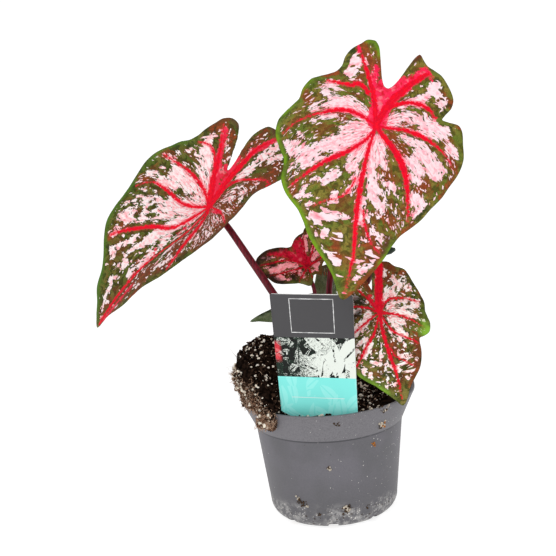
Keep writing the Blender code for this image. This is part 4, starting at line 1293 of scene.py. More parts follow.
LOW_FORM = LeafForm(
    name="low_leaf", junction=(37.5, -30, 145.8), tip=(47.8, -50, 86.8),
    faces=(0, -0.93, 0.30), arch=5, droop=5, half=45,
    wave=(2, 6, 0), wave_reach=35, notch=185.5, spokes=300, rings=40, patches=(3.6, 4.4),
    margin=(
        (0, 63), (4, 59), (7, 54), (11, 50.5), (16, 47.5), (22, 44.5), (29, 40), (35, 36), (40, 32.5),
        (44, 31), (49, 33), (56, 35), (64, 34), (72, 31.5), (80, 30), (90, 30.5), (101, 30), (111, 30),
        (120, 30.5), (129, 32), (138, 33.5), (148, 33), (158, 35), (167, 34.5), (172, 31), (175, 29),
        (178.2, 25), (181.5, 20), (185.5, 16.4), (187.5, 19.5), (189.5, 26), (193, 30), (198, 30),
        (204, 28), (212, 28), (220, 30), (232, 31), (245, 29.5), (258, 28.5), (272, 29), (286, 30.5),
        (298, 33), (309, 37), (318, 41), (327, 44.5), (335, 46.5), (342, 48.5), (349, 52.5), (356, 58.5)),
    veins=(
        Vein((-11, -5, -1, 1, 0), 1.3, (1, 1.1, 0.1), end=0.96),
        Vein((-3, 1, 4, 14, 21), 0.5, (0.3, 0.3, 0.1), start=0.4, end=0.9),
        Vein((16, 19, 29, 36, 38), 0.8, (0.4, 0.4, 0.5), end=0.92),
        Vein((76, 73, 67, 61, 55), 0.9, (0.7, 0.5, -0.2), end=0.92),
        Vein((146, 139, 118, 100, 88), 0.9, (0.7, 0.7, 0), end=0.92),
        Vein((176, 172, 169, 167, 165), 1.5, (1.8, 2.5, 1.8), end=0.92),
        Vein((206, 204, 207, 210, 213), 0.9, (0.8, 0.5, 0.2), end=0.9),
        Vein((232, 232, 240, 246, 250), 0.8, (0.6, 0.5, 0.3), end=0.9),
        Vein((280, 287, 292, 294, 296), 0.8, (0.5, 0.5, 0.3), end=0.92),
        Vein((328, 330, 325, 323, 322), 0.9, (0.6, 0.7, 0.5), end=0.92)),
    pale=(
        (150, 10, 146, 15, 2.6), (134, 16, 134, 22, 3.2), (152, 16, 140, 18, 2),
        (142, 24, 146, 26, 1.6), (160, 24, 160, 28, 1.4), (110, 8, 100, 16, 3.2), (98, 16, 92, 24, 3.6),
        (93, 26, 96, 30, 1.5), (104, 19, 104, 21, 1.4), (82, 8, 78, 15, 2.6), (74, 18, 70, 24, 2.2),
        (108, 28, 109, 29, 1), (50, 8, 55, 16, 2.8), (38, 12, 34, 22, 2.4), (16, 14, 22, 22, 2),
        (28, 16, 27, 20, 1.8), (0, 4, 0, 8, 1.2), (262, 8, 275, 9, 3), (288, 12, 292, 21, 3.2),
        (298, 21, 297, 23, 1.8), (312, 30, 313, 33, 2.2), (318, 20, 312, 24, 2.2),
        (328, 22, 326, 30, 2.8), (346, 26, 348, 28, 1.8), (343, 16, 342, 18, 1.2),
        (336, 33, 346, 34, 1.8), (331, 40, 337, 44, 2.4), (338, 40, 337, 42, 1),
        (350, 48, 351, 50, 1.4), (357, 48, 358, 49, 1), (2, 38, 5, 40, 1.4), (8, 45, 9, 47, 1),
        (4, 43, 5, 44, 0.8), (66, 29, 66, 30, 1.2), (222, 18, 228, 24, 1.8), (250, 14, 256, 22, 1.8),
        (357, 42, 358, 43, 0.9), (354, 33, 354, 35, 1)),
    gaps=(
        (97, 14, 97, 15, 0.8), (94, 19, 94, 20, 0.8), (99, 21, 99, 22, 0.7), (102, 12, 102, 13, 0.7),
        (133, 19, 133, 20, 0.7), (18, 17, 17, 20, 0.8), (334, 42, 334, 43, 1)),
    ruddy=(
        (40, 30, 20, 44, 3.4), (14, 46, 10, 50, 2.5), (150, 30, 165, 33, 3), (152, 22, 158, 28, 3),
        (118, 21, 118, 24, 2), (20, 26, 12, 36, 2.5), (250, 12, 262, 16, 2), (8, 22, 6, 30, 2.4),
        (105, 30, 96, 30, 1.6), (140, 30, 130, 32, 1.6), (45, 27, 40, 30, 2), (190, 18, 196, 26, 2.6),
        (150, 32, 170, 34, 2.6), (22, 42, 34, 37, 2.8)),
    feathers=(
        (335, 372, 34, 56, 26), (8, 30, 24, 42, 16), (115, 150, 22, 32, 16), (300, 330, 18, 42, 16),
        (215, 260, 10, 28, 14), (345, 358, 18, 34, 8)),
    web=((173, 4, 168, 32, 2.6), (197, 5, 200, 13, 1.8)),
    lime=((56, 14, 60, 26, 2.8), (60, 28, 54, 34, 3), (327, 45, 350, 53, 1.4)),
    # Near-black painted shade.
    brown_and_shade=((224, 16, 236, 26, 3.4), (252, 14, 266, 18, 2), (264, 22, 276, 25, 2.4)),
)

BACK_FORM = LeafForm(
    name="back_leaf", junction=(-6.5, 22, 168.7), tip=(-42, 18, 174.7),
    faces=(-0.10, -0.85, 0.50), arch=3, droop=4, half=30,
    wave=(1, 5, 40), wave_reach=28, notch=152, spokes=240, rings=30, patches=(3.4, 4),
    margin=(
        (0, 36.5), (5, 35), (10, 33.5), (16, 31.5), (22, 29.5), (30, 27), (37, 23.5), (45, 19.5),
        (54, 16.5), (66, 14), (80, 13.5), (95, 14), (103, 13.4), (110, 10.9), (118, 8.6), (126, 7.4),
        (138, 7.8), (145, 9.5), (150, 11.2), (165, 10.6), (177, 10), (190, 10.5), (200, 12), (212, 20),
        (224, 27), (236, 32), (248, 33.5), (260, 32), (268, 30.5), (274, 28.5), (278, 25), (288, 23),
        (298, 21), (306, 19), (313, 18), (320, 19), (328, 23), (335, 27), (342, 31), (349, 34),
        (355, 36)),
    veins=(
        Vein((-24, -21, -8, 1, 2), 0.9, (0.6, 0.5, 0.3), end=0.94),
        Vein((21, 21, 20, 19, 19), 0.8, (0.5, 0.4, 0.2), end=0.92),
        Vein((62, 62, 62, 62, 62), 0.7, (0.4, 0.4, 0.2), end=0.9),
        Vein((112, 112, 112, 112, 112), 0.6, (0.4, 0.4, 0.2), end=0.85),
        Vein((212, 214, 219, 224, 228), 0.9, (0.6, 0.5, 0.3), end=0.9),
        Vein((254, 254, 254, 253, 252), 0.8, (0.5, 0.4, 0.3), end=0.9),
        Vein((291, 288, 284, 280, 277), 0.8, (0.6, 0.5, 0.3), end=0.9)),
    pale=(
        (0, 9, 6, 20, 2.6), (8, 18, 12, 26, 2.6), (352, 16, 354, 19, 1.6), (350, 24, 353, 32, 1.3),
        (5, 27, 7, 29, 1.2), (30, 19, 26, 23, 2.4), (36, 16, 38, 18, 1.2), (34, 7, 46, 9, 1.6),
        (28, 10, 24, 12, 1.2), (276, 12, 277, 22, 2), (272, 22, 272, 27, 1.6), (243, 7, 238, 14, 2.4),
        (256, 12, 250, 18, 1.8), (230, 12, 232, 24, 2), (190, 6, 195, 9, 2.4), (165, 7, 152, 10, 2.6),
        (140, 5, 125, 6, 1.4), (325, 12, 325, 14, 0.8), (60, 6, 70, 8, 1.2), (80, 13, 84, 13, 0.9)),
    gaps=((355, 18, 356, 20, 1), (346, 16, 346, 17, 0.6), (36, 15, 30, 17, 1.2), (20, 17, 22, 19, 1)),
    web=((300, 3, 300, 18, 4), (322, 6, 335, 20, 3.4), (285, 12, 286, 20, 1.6), (340, 20, 345, 28, 2)),
    lime=((88, 12, 70, 13, 1.6),),
    brown_and_shade=(
        (318, 19, 345, 31, 1.6), (345, 31, 358, 35, 2.6), (352, 28, 0, 34, 1.4), (290, 23, 320, 19, 1),
        (18, 29, 40, 22, 2), (40, 14, 52, 12, 1.6), (4, 24, 2, 26, 1.2)),
)

GREEN_FORM = LeafForm(
    name="green_leaf", junction=(1.8, 32, 144), tip=(-50, 18, 134),
    faces=(-0.20, -0.62, 0.75), arch=3, fold=12, half=20,
    wave=(0.6, 5, 0), wave_reach=25, notch=172, spokes=180, rings=30, rib=0.5,
    margin=(
        (0, 54), (4, 49), (8, 46), (14, 42), (22, 35.5), (33, 27), (50, 19), (80, 14), (110, 13),
        (135, 14), (155, 13), (172, 11), (185, 12), (196, 17), (207, 23), (216, 27), (226, 28),
        (236, 26.5), (244, 25), (252, 22.5), (258, 19), (263, 15.5), (268, 13), (284, 9), (300, 7),
        (318, 6.6), (332, 10), (341, 15), (346, 21), (350.5, 28), (354, 34), (356.4, 38.5), (357.6, 46)),
    veins=(
        Vein((0, 0, 0, 0, 0), 1.2, (0.5, 0.3, 0.1), end=0.97),
        Vein((50, 46, 36, 24, 16), 0.7, (0.2, 0.1, 0), end=0.92),
        Vein((115, 115, 115, 115, 115), 0.6, (0.2, 0.1, 0), end=0.85),
        Vein((215, 215, 215, 215, 215), 0.6, (0.2, 0.1, 0), end=0.85),
        Vein((300, 305, 318, 330, 342), 0.7, (0.2, 0.1, 0), end=0.9)),
    pale=((200, 12, 205, 15, 1.2), (90, 6, 84, 8, 0.8)),
    ruddy=((212, 27, 254, 24, 6),),
    brown_and_shade=((350, 26, 357.5, 46, 1.4),),
)

ROSE = LeafFinish(
    name="rose_leaf", seed=3.0, pink=srgb(255, 162, 178), pale_pink=srgb(255, 228, 233),
    green=srgb(100, 114, 42), bright_green=srgb(134, 122, 54), dark_green=srgb(72, 70, 26),
    brown=srgb(132, 62, 36), red=srgb(246, 10, 40), deep_red=srgb(222, 12, 44),
    web=srgb(253, 34, 84), lime=srgb(118, 158, 30), brown_and_shade=srgb(92, 46, 38), under=srgb(160, 120, 108),
    border=3.6)
LEFT_ROSE = LeafFinish(
    name="left_rose_leaf", seed=11.0, pink=srgb(255, 166, 174), pale_pink=srgb(255, 240, 240),
    green=srgb(82, 98, 38), bright_green=srgb(118, 108, 54), dark_green=srgb(54, 54, 20),
    brown=srgb(118, 62, 40), red=srgb(246, 16, 42), deep_red=srgb(220, 16, 44),
    web=srgb(240, 44, 76), lime=srgb(84, 128, 44), brown_and_shade=srgb(98, 66, 50), under=srgb(160, 120, 108),
    torn=0.9, border=5.0)
LOW_ROSE = LeafFinish(
    name="low_rose_leaf", seed=23.0, pink=srgb(255, 186, 188), pale_pink=srgb(255, 248, 244),
    green=srgb(92, 100, 42), bright_green=srgb(130, 118, 62), dark_green=srgb(48, 50, 16),
    brown=srgb(118, 54, 36), red=srgb(238, 18, 46), deep_red=srgb(206, 18, 42),
    web=srgb(228, 34, 62), lime=srgb(132, 178, 56), brown_and_shade=srgb(34, 34, 26), under=srgb(150, 112, 102),
    torn=0.4, flecks=0.05, lime_reach=9.0, near=0.55)
BACK_ROSE = LeafFinish(
    name="back_rose_leaf", seed=37.0, pink=srgb(255, 120, 134), pale_pink=srgb(255, 176, 182),
    green=srgb(104, 64, 36), bright_green=srgb(124, 96, 52), dark_green=srgb(50, 16, 6),
    brown=srgb(140, 20, 28), red=srgb(216, 12, 42), deep_red=srgb(140, 6, 26),
    web=srgb(204, 14, 52), lime=srgb(130, 132, 78), brown_and_shade=srgb(40, 26, 22), under=srgb(110, 60, 58),
    torn=0.5, flecks=0.01, near=0.25)
PLAIN_GREEN = LeafFinish(
    name="plain_green_leaf", seed=41.0, pink=srgb(124, 146, 120), pale_pink=srgb(140, 158, 130),
    green=srgb(92, 108, 74), bright_green=srgb(112, 126, 96), dark_green=srgb(38, 52, 28),
    brown=srgb(86, 78, 56), red=srgb(96, 118, 88), deep_red=srgb(84, 106, 78),
    web=srgb(120, 140, 110), lime=srgb(90, 130, 60), brown_and_shade=srgb(14, 28, 8), under=srgb(96, 116, 92),
    flecks=-0.2, browned=0.2, collar=90.0, mottled=0.35)


@dataclass(frozen=True)
class StalkFinish:
    """Smooth dark red stalk skin with faint lengthways streaks."""

    dark: Colour = srgb(74, 10, 22)
    light: Colour = srgb(122, 18, 38)

    def build(self) -> Material:
        """The stalk's material.

        Returns:
            The material.
        """
        made, desk = start_material("stalk_skin", 0.4, 0.2)
        streak = desk.noise(desk.place(900.0, 900.0, 60.0), 1.0, 3.0, 0.55)
        blush = desk.noise(desk.place(40.0, 40.0, 26.0), 1.0)
        colour = desk.mix(desk.ramp(streak, 0.35, 0.68), self.dark, self.light)
        desk.feed("Base Color", desk.mix(desk.ramp(blush, 0.5, 0.75, 0.0, 0.5), colour, self.dark))
        desk.bump(streak, 0.25, 0.0002)
        return made


@dataclass
class Stalk:
    """A petiole: it rises from the tuber, swells at its foot and ends under its leaf."""

    name: str
    points: tuple[Point, ...]
    foot: float
    head: float
    neck: float
    form: LeafForm

    def build(self, skin: Material) -> None:
        """Make the stalk and set it in the model.

        Args:
            skin: The stalks' material.
        """
        below = self.form.thickness + self.form.rib + 0.3
        ends = tuple(tuple(self.form.place(np.zeros(1), np.zeros(1), np.array([-below - run]))[0])
                     for run in (2 * self.neck, self.neck, 0.0))
        path = smooth_path(self.points + ends, 8)
        share = np.linspace(0, 1, len(path))
        radii = self.foot + (self.head - self.foot) * share
        radii = radii * (1 + 0.35 * np.clip((share - 0.97) / 0.03, 0, 1))
        dress(tube(self.name + "_skin", path, radii), skin, 40.0, "petiole_skin", self.name)


@dataclass
class NewLeaf:
    """The newest leaf: a slim stem with a blade still rolled round itself."""

    stem: tuple[Point, ...] = (
        (7.0, 5.5, 73.5), (12.5, 8.0, 104.0), (22.5, 9.5, 135.0), (32.5, 10.0, 155.0))
    roll: tuple[Point, ...] = (
        (32.7, 10.1, 156.0), (36.4, 11.0, 165.5), (43.0, 12.5, 175.8), (53.4, 14.0, 177.8))
    radii: tuple[float, ...] = (1.5, 2.1, 2.5, 2.7, 2.8, 2.9, 3.0, 3.1, 3.2, 2.9, 1.0)
    turns: float = 1.7
    sheet: float = 0.3
    stem_foot: float = 1.7
    stem_taper: float = 0.3
    dark: Colour = srgb(14, 32, 20)
    light: Colour = srgb(32, 56, 32)
    blush: Colour = srgb(96, 34, 34)

    def _width(self, share: Array) -> Array:
        """The roll's radius at each share of its length."""
        return np.interp(share, np.linspace(0, 1, len(self.radii)), self.radii)

    def _rolled(self, path: Array) -> Piece:
        """The rolled blade: a sheet wound along its path, its outer edge standing a little off.

        Args:
            path: The middle of the roll.

        Returns:
            The rolled blade.
        """
        piece, around, along = add_grid("new_leaf_rolled_blade", 72, len(path) - 1)
        row = np.rint(along * (len(path) - 1)).astype(int)
        ahead = ahead_of(path)
        side = np.cross(ahead, (0.0, 1.0, 0.0))
        side /= np.linalg.norm(side, axis=1)[:, None]
        other = np.cross(ahead, side)
        angle = around * self.turns * 2 * math.pi + along * 1.2
        radius = self._width(along) * (0.62 + 0.34 * around)
        bend(piece, path[row] + (radius * np.cos(angle))[:, None] * side[row]
             + (radius * np.sin(angle))[:, None] * other[row])
        apply_modifier(piece, "SOLIDIFY", thickness=self.sheet * MM, offset=0.0)
        edit_all(piece, outward)
        return piece

    def _skin(self) -> Material:
        """Dark green with fine lengthways veins, redder near the stem.

        Returns:
            The material.
        """
        made, desk = start_material("new_leaf_skin", 0.42, 0.3)
        streak = desk.noise(desk.place(700.0, 700.0, 90.0), 1.0, 3.0, 0.6)
        colour = desk.mix(desk.ramp(streak, 0.35, 0.65), self.dark, self.light)
        high = desk.axes(desk.place(1.0, 1.0, 1.0))[2]
        colour = desk.mix(desk.ramp(high, 0.157, 0.170, 1.0, 0.0), colour, self.blush)
        desk.feed("Base Color", colour)
        desk.bump(streak, 0.3, 0.0003)
        return made

    def build(self, skin: Material) -> None:
        """Make the stem and the rolled blade.

        Args:
            skin: The stem's material.
        """
        path = smooth_path(self.stem, 10)
        stem = tube("new_leaf_stem_skin", path,
                    self.stem_foot - self.stem_taper * np.linspace(0, 1, len(path)))
        dress(stem, skin, 40.0, "petiole_skin", "new_leaf_stem")
        path = smooth_path(self.roll, 16)
        blade, inner = self._rolled(path), path[:-2]
        core = tube("new_leaf_core", inner, self._width(np.linspace(0, 1, len(inner))) * 0.6, 14)
        dress(join([blade, core], "new_leaf_rolled_blade"), self._skin(), 60.0, "green_blade",
              "new_leaf_roll")


@dataclass(frozen=True)
class PotFinish:
    """Grey moulded plastic with dust, lime at the foot and small specks, a lighter band above the step, a
    painted shadow line along the step and painted shade low down.
    """

    base: Colour = srgb(104, 102, 108)
    shade: Colour = srgb(95, 94, 98)
    # Painted shade for the lower part of the pot.
    low_painted_shade: Colour = srgb(90, 89, 92)
    band: Colour = srgb(114, 112, 116)
    lime: Colour = srgb(182, 180, 178)
    bright: Colour = srgb(226, 222, 216)
    dirt: Colour = srgb(58, 47, 40)
    # Painted shadow: the dark line drawn along the step's ledge.
    ledge_shadow: Colour = srgb(58, 57, 62)
    step_height: float = 66.0

    def build(self) -> Material:
        """The pot's material, laid out in millimetres.

        Returns:
            The material.
        """
        made, desk = start_material("grey_pot_plastic", 0.5, 0.3)
        place = desk.millimetres()
        across, _, high = desk.axes(place)
        cloud = desk.noise(place, 0.035, 3.0)
        colour = desk.mix(desk.ramp(cloud, 0.35, 0.65), self.shade, self.base)
        # Painted shade: the pot drawn darker towards its bottom.
        colour = desk.mix(desk.ramp(high, 14.0, 46.0, 0.7, 0.0), colour, self.low_painted_shade)
        haze = desk.noise(place, 1.1, 2.0, 0.6)
        colour = desk.mix(1.0, colour, desk.ramp(haze, 0.3, 0.7, 0.95, 1.05), "MULTIPLY")
        # The flared band above the step is drawn lighter, in uneven patches.
        lighter_band = desk.times(desk.ramp(high, self.step_height, self.step_height + 1.0),
                          desk.ramp(haze, 0.35, 0.6, 0.3, 1.0))
        colour = desk.mix(lighter_band, colour, self.band)
        # Painted shadow: a thin dark line along the step's ledge, where the ledge would shade the wall.
        step = desk.ramp(desk.gap(high, self.step_height - 0.1), 0.35, 0.8, 0.8, 0.0)
        colour = desk.mix(step, colour, self.ledge_shadow)

        low = desk.ramp(high, 11.0, 22.0, 1.0, 0.0)
        sides = desk.most(desk.ramp(desk.noise(place, 0.08), 0.36, 0.56, 0.1, 1.0),
                          desk.ramp(across, -34.0, -18.0, 1.0, 0.0))
        crust = desk.times(desk.ramp(desk.noise(place, 0.17, 7.0, 0.8), 0.45, 0.57),
                           desk.times(low, sides))
        colour = desk.mix(desk.times(crust, 0.62), colour, self.lime)
        grains = desk.times(desk.flecks(place, 0.7, 0.5, 0.3),
                            desk.ramp(desk.plus(crust, desk.times(low, 0.3)), 0.25, 0.6))
        soil = desk.times(desk.flecks(desk.move(place, (17.0, 3.0, 5.0)), 0.4, 0.55, 0.28),
                          desk.ramp(high, 9.0, 18.0, 1.0, 0.0))
        specks = desk.flecks(place, 0.48, desk.ramp(across, -14.0, 16.0, 0.08, 0.5), 0.12)
        dirt = desk.flecks(desk.move(place, (9.0, 4.0, 2.0)), 0.3, 0.06, 0.12)
        for spots, strength, tint in ((grains, 0.7, self.bright), (soil, 0.8, self.dirt),
                                      (specks, 0.85, self.bright), (dirt, 0.7, self.dirt)):
            colour = desk.mix(desk.times(spots, strength), colour, tint)
        desk.feed("Base Color", colour)
        gloss = desk.plus(desk.times(cloud, 0.2), 0.4)
        desk.feed("Roughness", desk.plus(gloss, desk.times(crust, 0.3)))
        desk.bump(desk.plus(desk.times(desk.grain(place, 0.5, 0.3), 0.3), crust), 0.25, 0.0004)
        return made


@dataclass
class NurseryPot:
    """The tapered pot: a flared band under its rim, a step, a rounded foot and drain slots."""

    height: float = 87.0
    rim_radius: float = 60.0
    step_radius: float = 51.0
    step_height: float = 66.0
    step_ledge: float = 0.7
    base_radius: float = 44.0
    base_round: float = 11.0
    wall: float = 1.2
    bead: float = 0.6
    drains: int = 8
    first_drain: float = -50.0
    drain_size: Point = (7.0, 16.0, 6.5)
    drain_reach: float = 40.0
    drain_middle: float = 1.25
    sides: int = 192

    def _profile(self) -> list[tuple[float, float]]:
        """The wall's section as (radius, height), from the middle of the base and back to it."""
        foot, body = self.base_radius - self.base_round, self.step_radius - self.step_ledge
        step, wide, top, rim = self.step_height, self.step_radius, self.height, self.rim_radius
        band = rim - self.bead
        lip = band - self.wall
        section = [(0.0, 0.0), (foot * 0.5, 0.0), (foot, 0.0)]
        for turn in range(9, 91, 9):
            a = math.radians(turn)
            section.append((foot + self.base_round * math.sin(a),
                            self.base_round * (1 - math.cos(a))))
        section += [(body - 0.05, step - 1.2), (body, step - 0.5), (wide - 0.2, step - 0.1),
                    (wide, step + 0.4), (band - 0.1, top - 2.8), (band, top - 2.2),
                    (rim - 0.1, top - 1.9), (rim, top - 1.6), (rim, top - 0.3), (rim - 0.3, top),
                    (lip + 0.3, top), (lip, top - 0.4), (wide - self.wall, step + 1.0),
                    (body - self.wall, step - 0.5)]
        reach = self.base_round - self.wall
        for turn in range(90, -1, -15):
            a = math.radians(turn)
            section.append((foot + reach * math.sin(a), self.base_round - reach * math.cos(a)))
        section.append((0.0, self.wall))
        return section

    def _spun(self) -> Piece:
        """The section, as an open ring of points, spun round the pot's axis.

        Returns:
            The pot without its drain slots.
        """
        section = self._profile()
        deselect()
        bpy.ops.mesh.primitive_circle_add(vertices=len(section), radius=1.0)
        pot = bpy.context.active_object
        pot.name = pot.data.name = "nursery_pot"
        mesh = bmesh.new()
        mesh.from_mesh(pot.data)
        mesh.verts.ensure_lookup_table()
        closing = [e for e in mesh.edges if {v.index for v in e.verts} == {0, len(section) - 1}]
        bmesh.ops.delete(mesh, geom=closing, context="EDGES")
        mesh.verts.ensure_lookup_table()
        mesh.verts.index_update()
        for vert, (radius, height) in zip(mesh.verts, section):
            vert.co = Vector((radius * MM, 0.0, height * MM))
        mesh.to_mesh(pot.data)
        mesh.free()
        edit_all(pot, lambda: bpy.ops.mesh.spin(
            steps=self.sides, angle=2 * math.pi, center=(0, 0, 0), axis=(0, 0, 1)), weld, outward)
        return pot

    def build(self, finish: PotFinish) -> None:
        """Spin the section, cut the drain slots and dress the pot.

        Args:
            finish: The plastic's look.
        """
        pot = self._spun()
        for k in range(self.drains):
            turn = math.radians(self.first_drain + k * 360.0 / self.drains)
            deselect()
            bpy.ops.mesh.primitive_cube_add(size=1.0)
            cutter = bpy.context.active_object
            cutter.scale = tuple(side * MM for side in self.drain_size)
            cutter.rotation_euler = (0.0, 0.0, turn)
            reach = self.drain_reach * MM
            cutter.location = (reach * math.sin(turn), -reach * math.cos(turn), self.drain_middle * MM)
            bpy.ops.object.transform_apply(location=True, rotation=True, scale=True)
            apply_modifier(cutter, "BEVEL", width=0.8 * MM, segments=2, limit_method="ANGLE")
            apply_modifier(pot, "BOOLEAN", operation="DIFFERENCE", solver="EXACT", object=cutter)
            bpy.data.objects.remove(cutter, do_unlink=True)
        dress(pot, finish.build(), 32.0, "pot_plastic", "pot")


class Scatter(Enum):
    """What is strewn over the potting mix."""

    CRUMB = "crumbs"
    PERLITE = "perlite"
    BARK = "bark"


@dataclass(frozen=True)
class MixFinish:
    """Colours of the potting mix and of what is strewn in it."""

    peat: Colour = srgb(7, 4, 3)
    brown: Colour = srgb(44, 31, 24)
    crumb: Colour = srgb(62, 45, 35)
    matted: Colour = srgb(202, 154, 124)
    perlite: Colour = srgb(255, 250, 240)
    perlite_shade: Colour = srgb(236, 224, 202)
    bark: Colour = srgb(196, 168, 146)
    bark_shade: Colour = srgb(78, 58, 46)
    fibre: Colour = srgb(240, 206, 176)
    fibre_shade: Colour = srgb(122, 86, 66)
    root: Colour = srgb(196, 188, 178)
    root_shade: Colour = srgb(120, 112, 104)

    def build(self, name: str, dark: Colour, light: Colour, scale: float,
              roughness: float = 0.95, matted: bool = False) -> Material:
        """A dull crumbly material between two colours.

        Args:
            name: The material's name.
            dark: Its darker colour.
            light: Its lighter colour.
            scale: Size of its patches, in patches a millimetre.
            roughness: Its roughness.
            matted: Whether fibres make it paler low on the left, where the heap hangs over.

        Returns:
            The material.
        """
        made, desk = start_material(name, roughness, 0.02)
        place = desk.millimetres()
        tone = desk.noise(place, scale, 4.0, 0.65)
        colour = desk.mix(desk.ramp(tone, 0.38, 0.68), dark, light)
        if matted:
            across, _, high = desk.axes(place)
            slant = desk.plus(across, desk.times(high, 0.5))
            low_left = desk.times(desk.ramp(high, 92.0, 108.0, 1.0, 0.0),
                                  desk.ramp(slant, -3.0, 3.0, 1.0, 0.0))
            patchy = desk.ramp(desk.noise(place, 1.3, 4.0, 0.75), 0.5, 0.6)
            colour = desk.mix(desk.times(low_left, patchy), colour, self.matted)
        desk.feed("Base Color", colour)
        desk.bump(desk.grain(place, 1.3, 0.6), 0.7, 0.0008)
        return made


# Crumbs that cling to the pot: (turn from the front, height, distance from the axis, size).
CLINGING = (
    ("pale", srgb(226, 214, 196), (
        (-4.7, 46.2, 48.2, 1.2), (37.6, 73.0, 54.4, 1.9), (8.6, 15.6, 44.9, 2.0),
        (-34.6, 23.0, 45.5, 1.2), (-27.0, 17.6, 44.9, 1.0), (37.5, 84.0, 59.2, 1.4),
        (39.0, 86.4, 59.8, 1.1), (26.5, 87.6, 58.4, 1.3))),
    ("orange", srgb(206, 132, 62), ((39.8, 72.4, 54.0, 1.7), (33.6, 58.8, 49.8, 1.2))),
    ("peat", srgb(92, 74, 60), (
        (2.4, 81.3, 57.4, 1.8), (4.0, 79.4, 56.9, 1.3), (-5.8, 47.8, 48.2, 1.1),
        (36.2, 71.6, 53.8, 1.3), (6.6, 14.4, 44.8, 1.9), (10.8, 17.0, 44.9, 1.3),
        (-33.0, 21.4, 45.4, 1.6), (-29.5, 19.4, 45.2, 1.6), (-16.0, 12.5, 44.2, 1.2),
        (28.0, 13.6, 44.5, 1.2), (36.5, 84.8, 59.2, 2.0), (34.0, 86.2, 59.6, 1.5))),
)


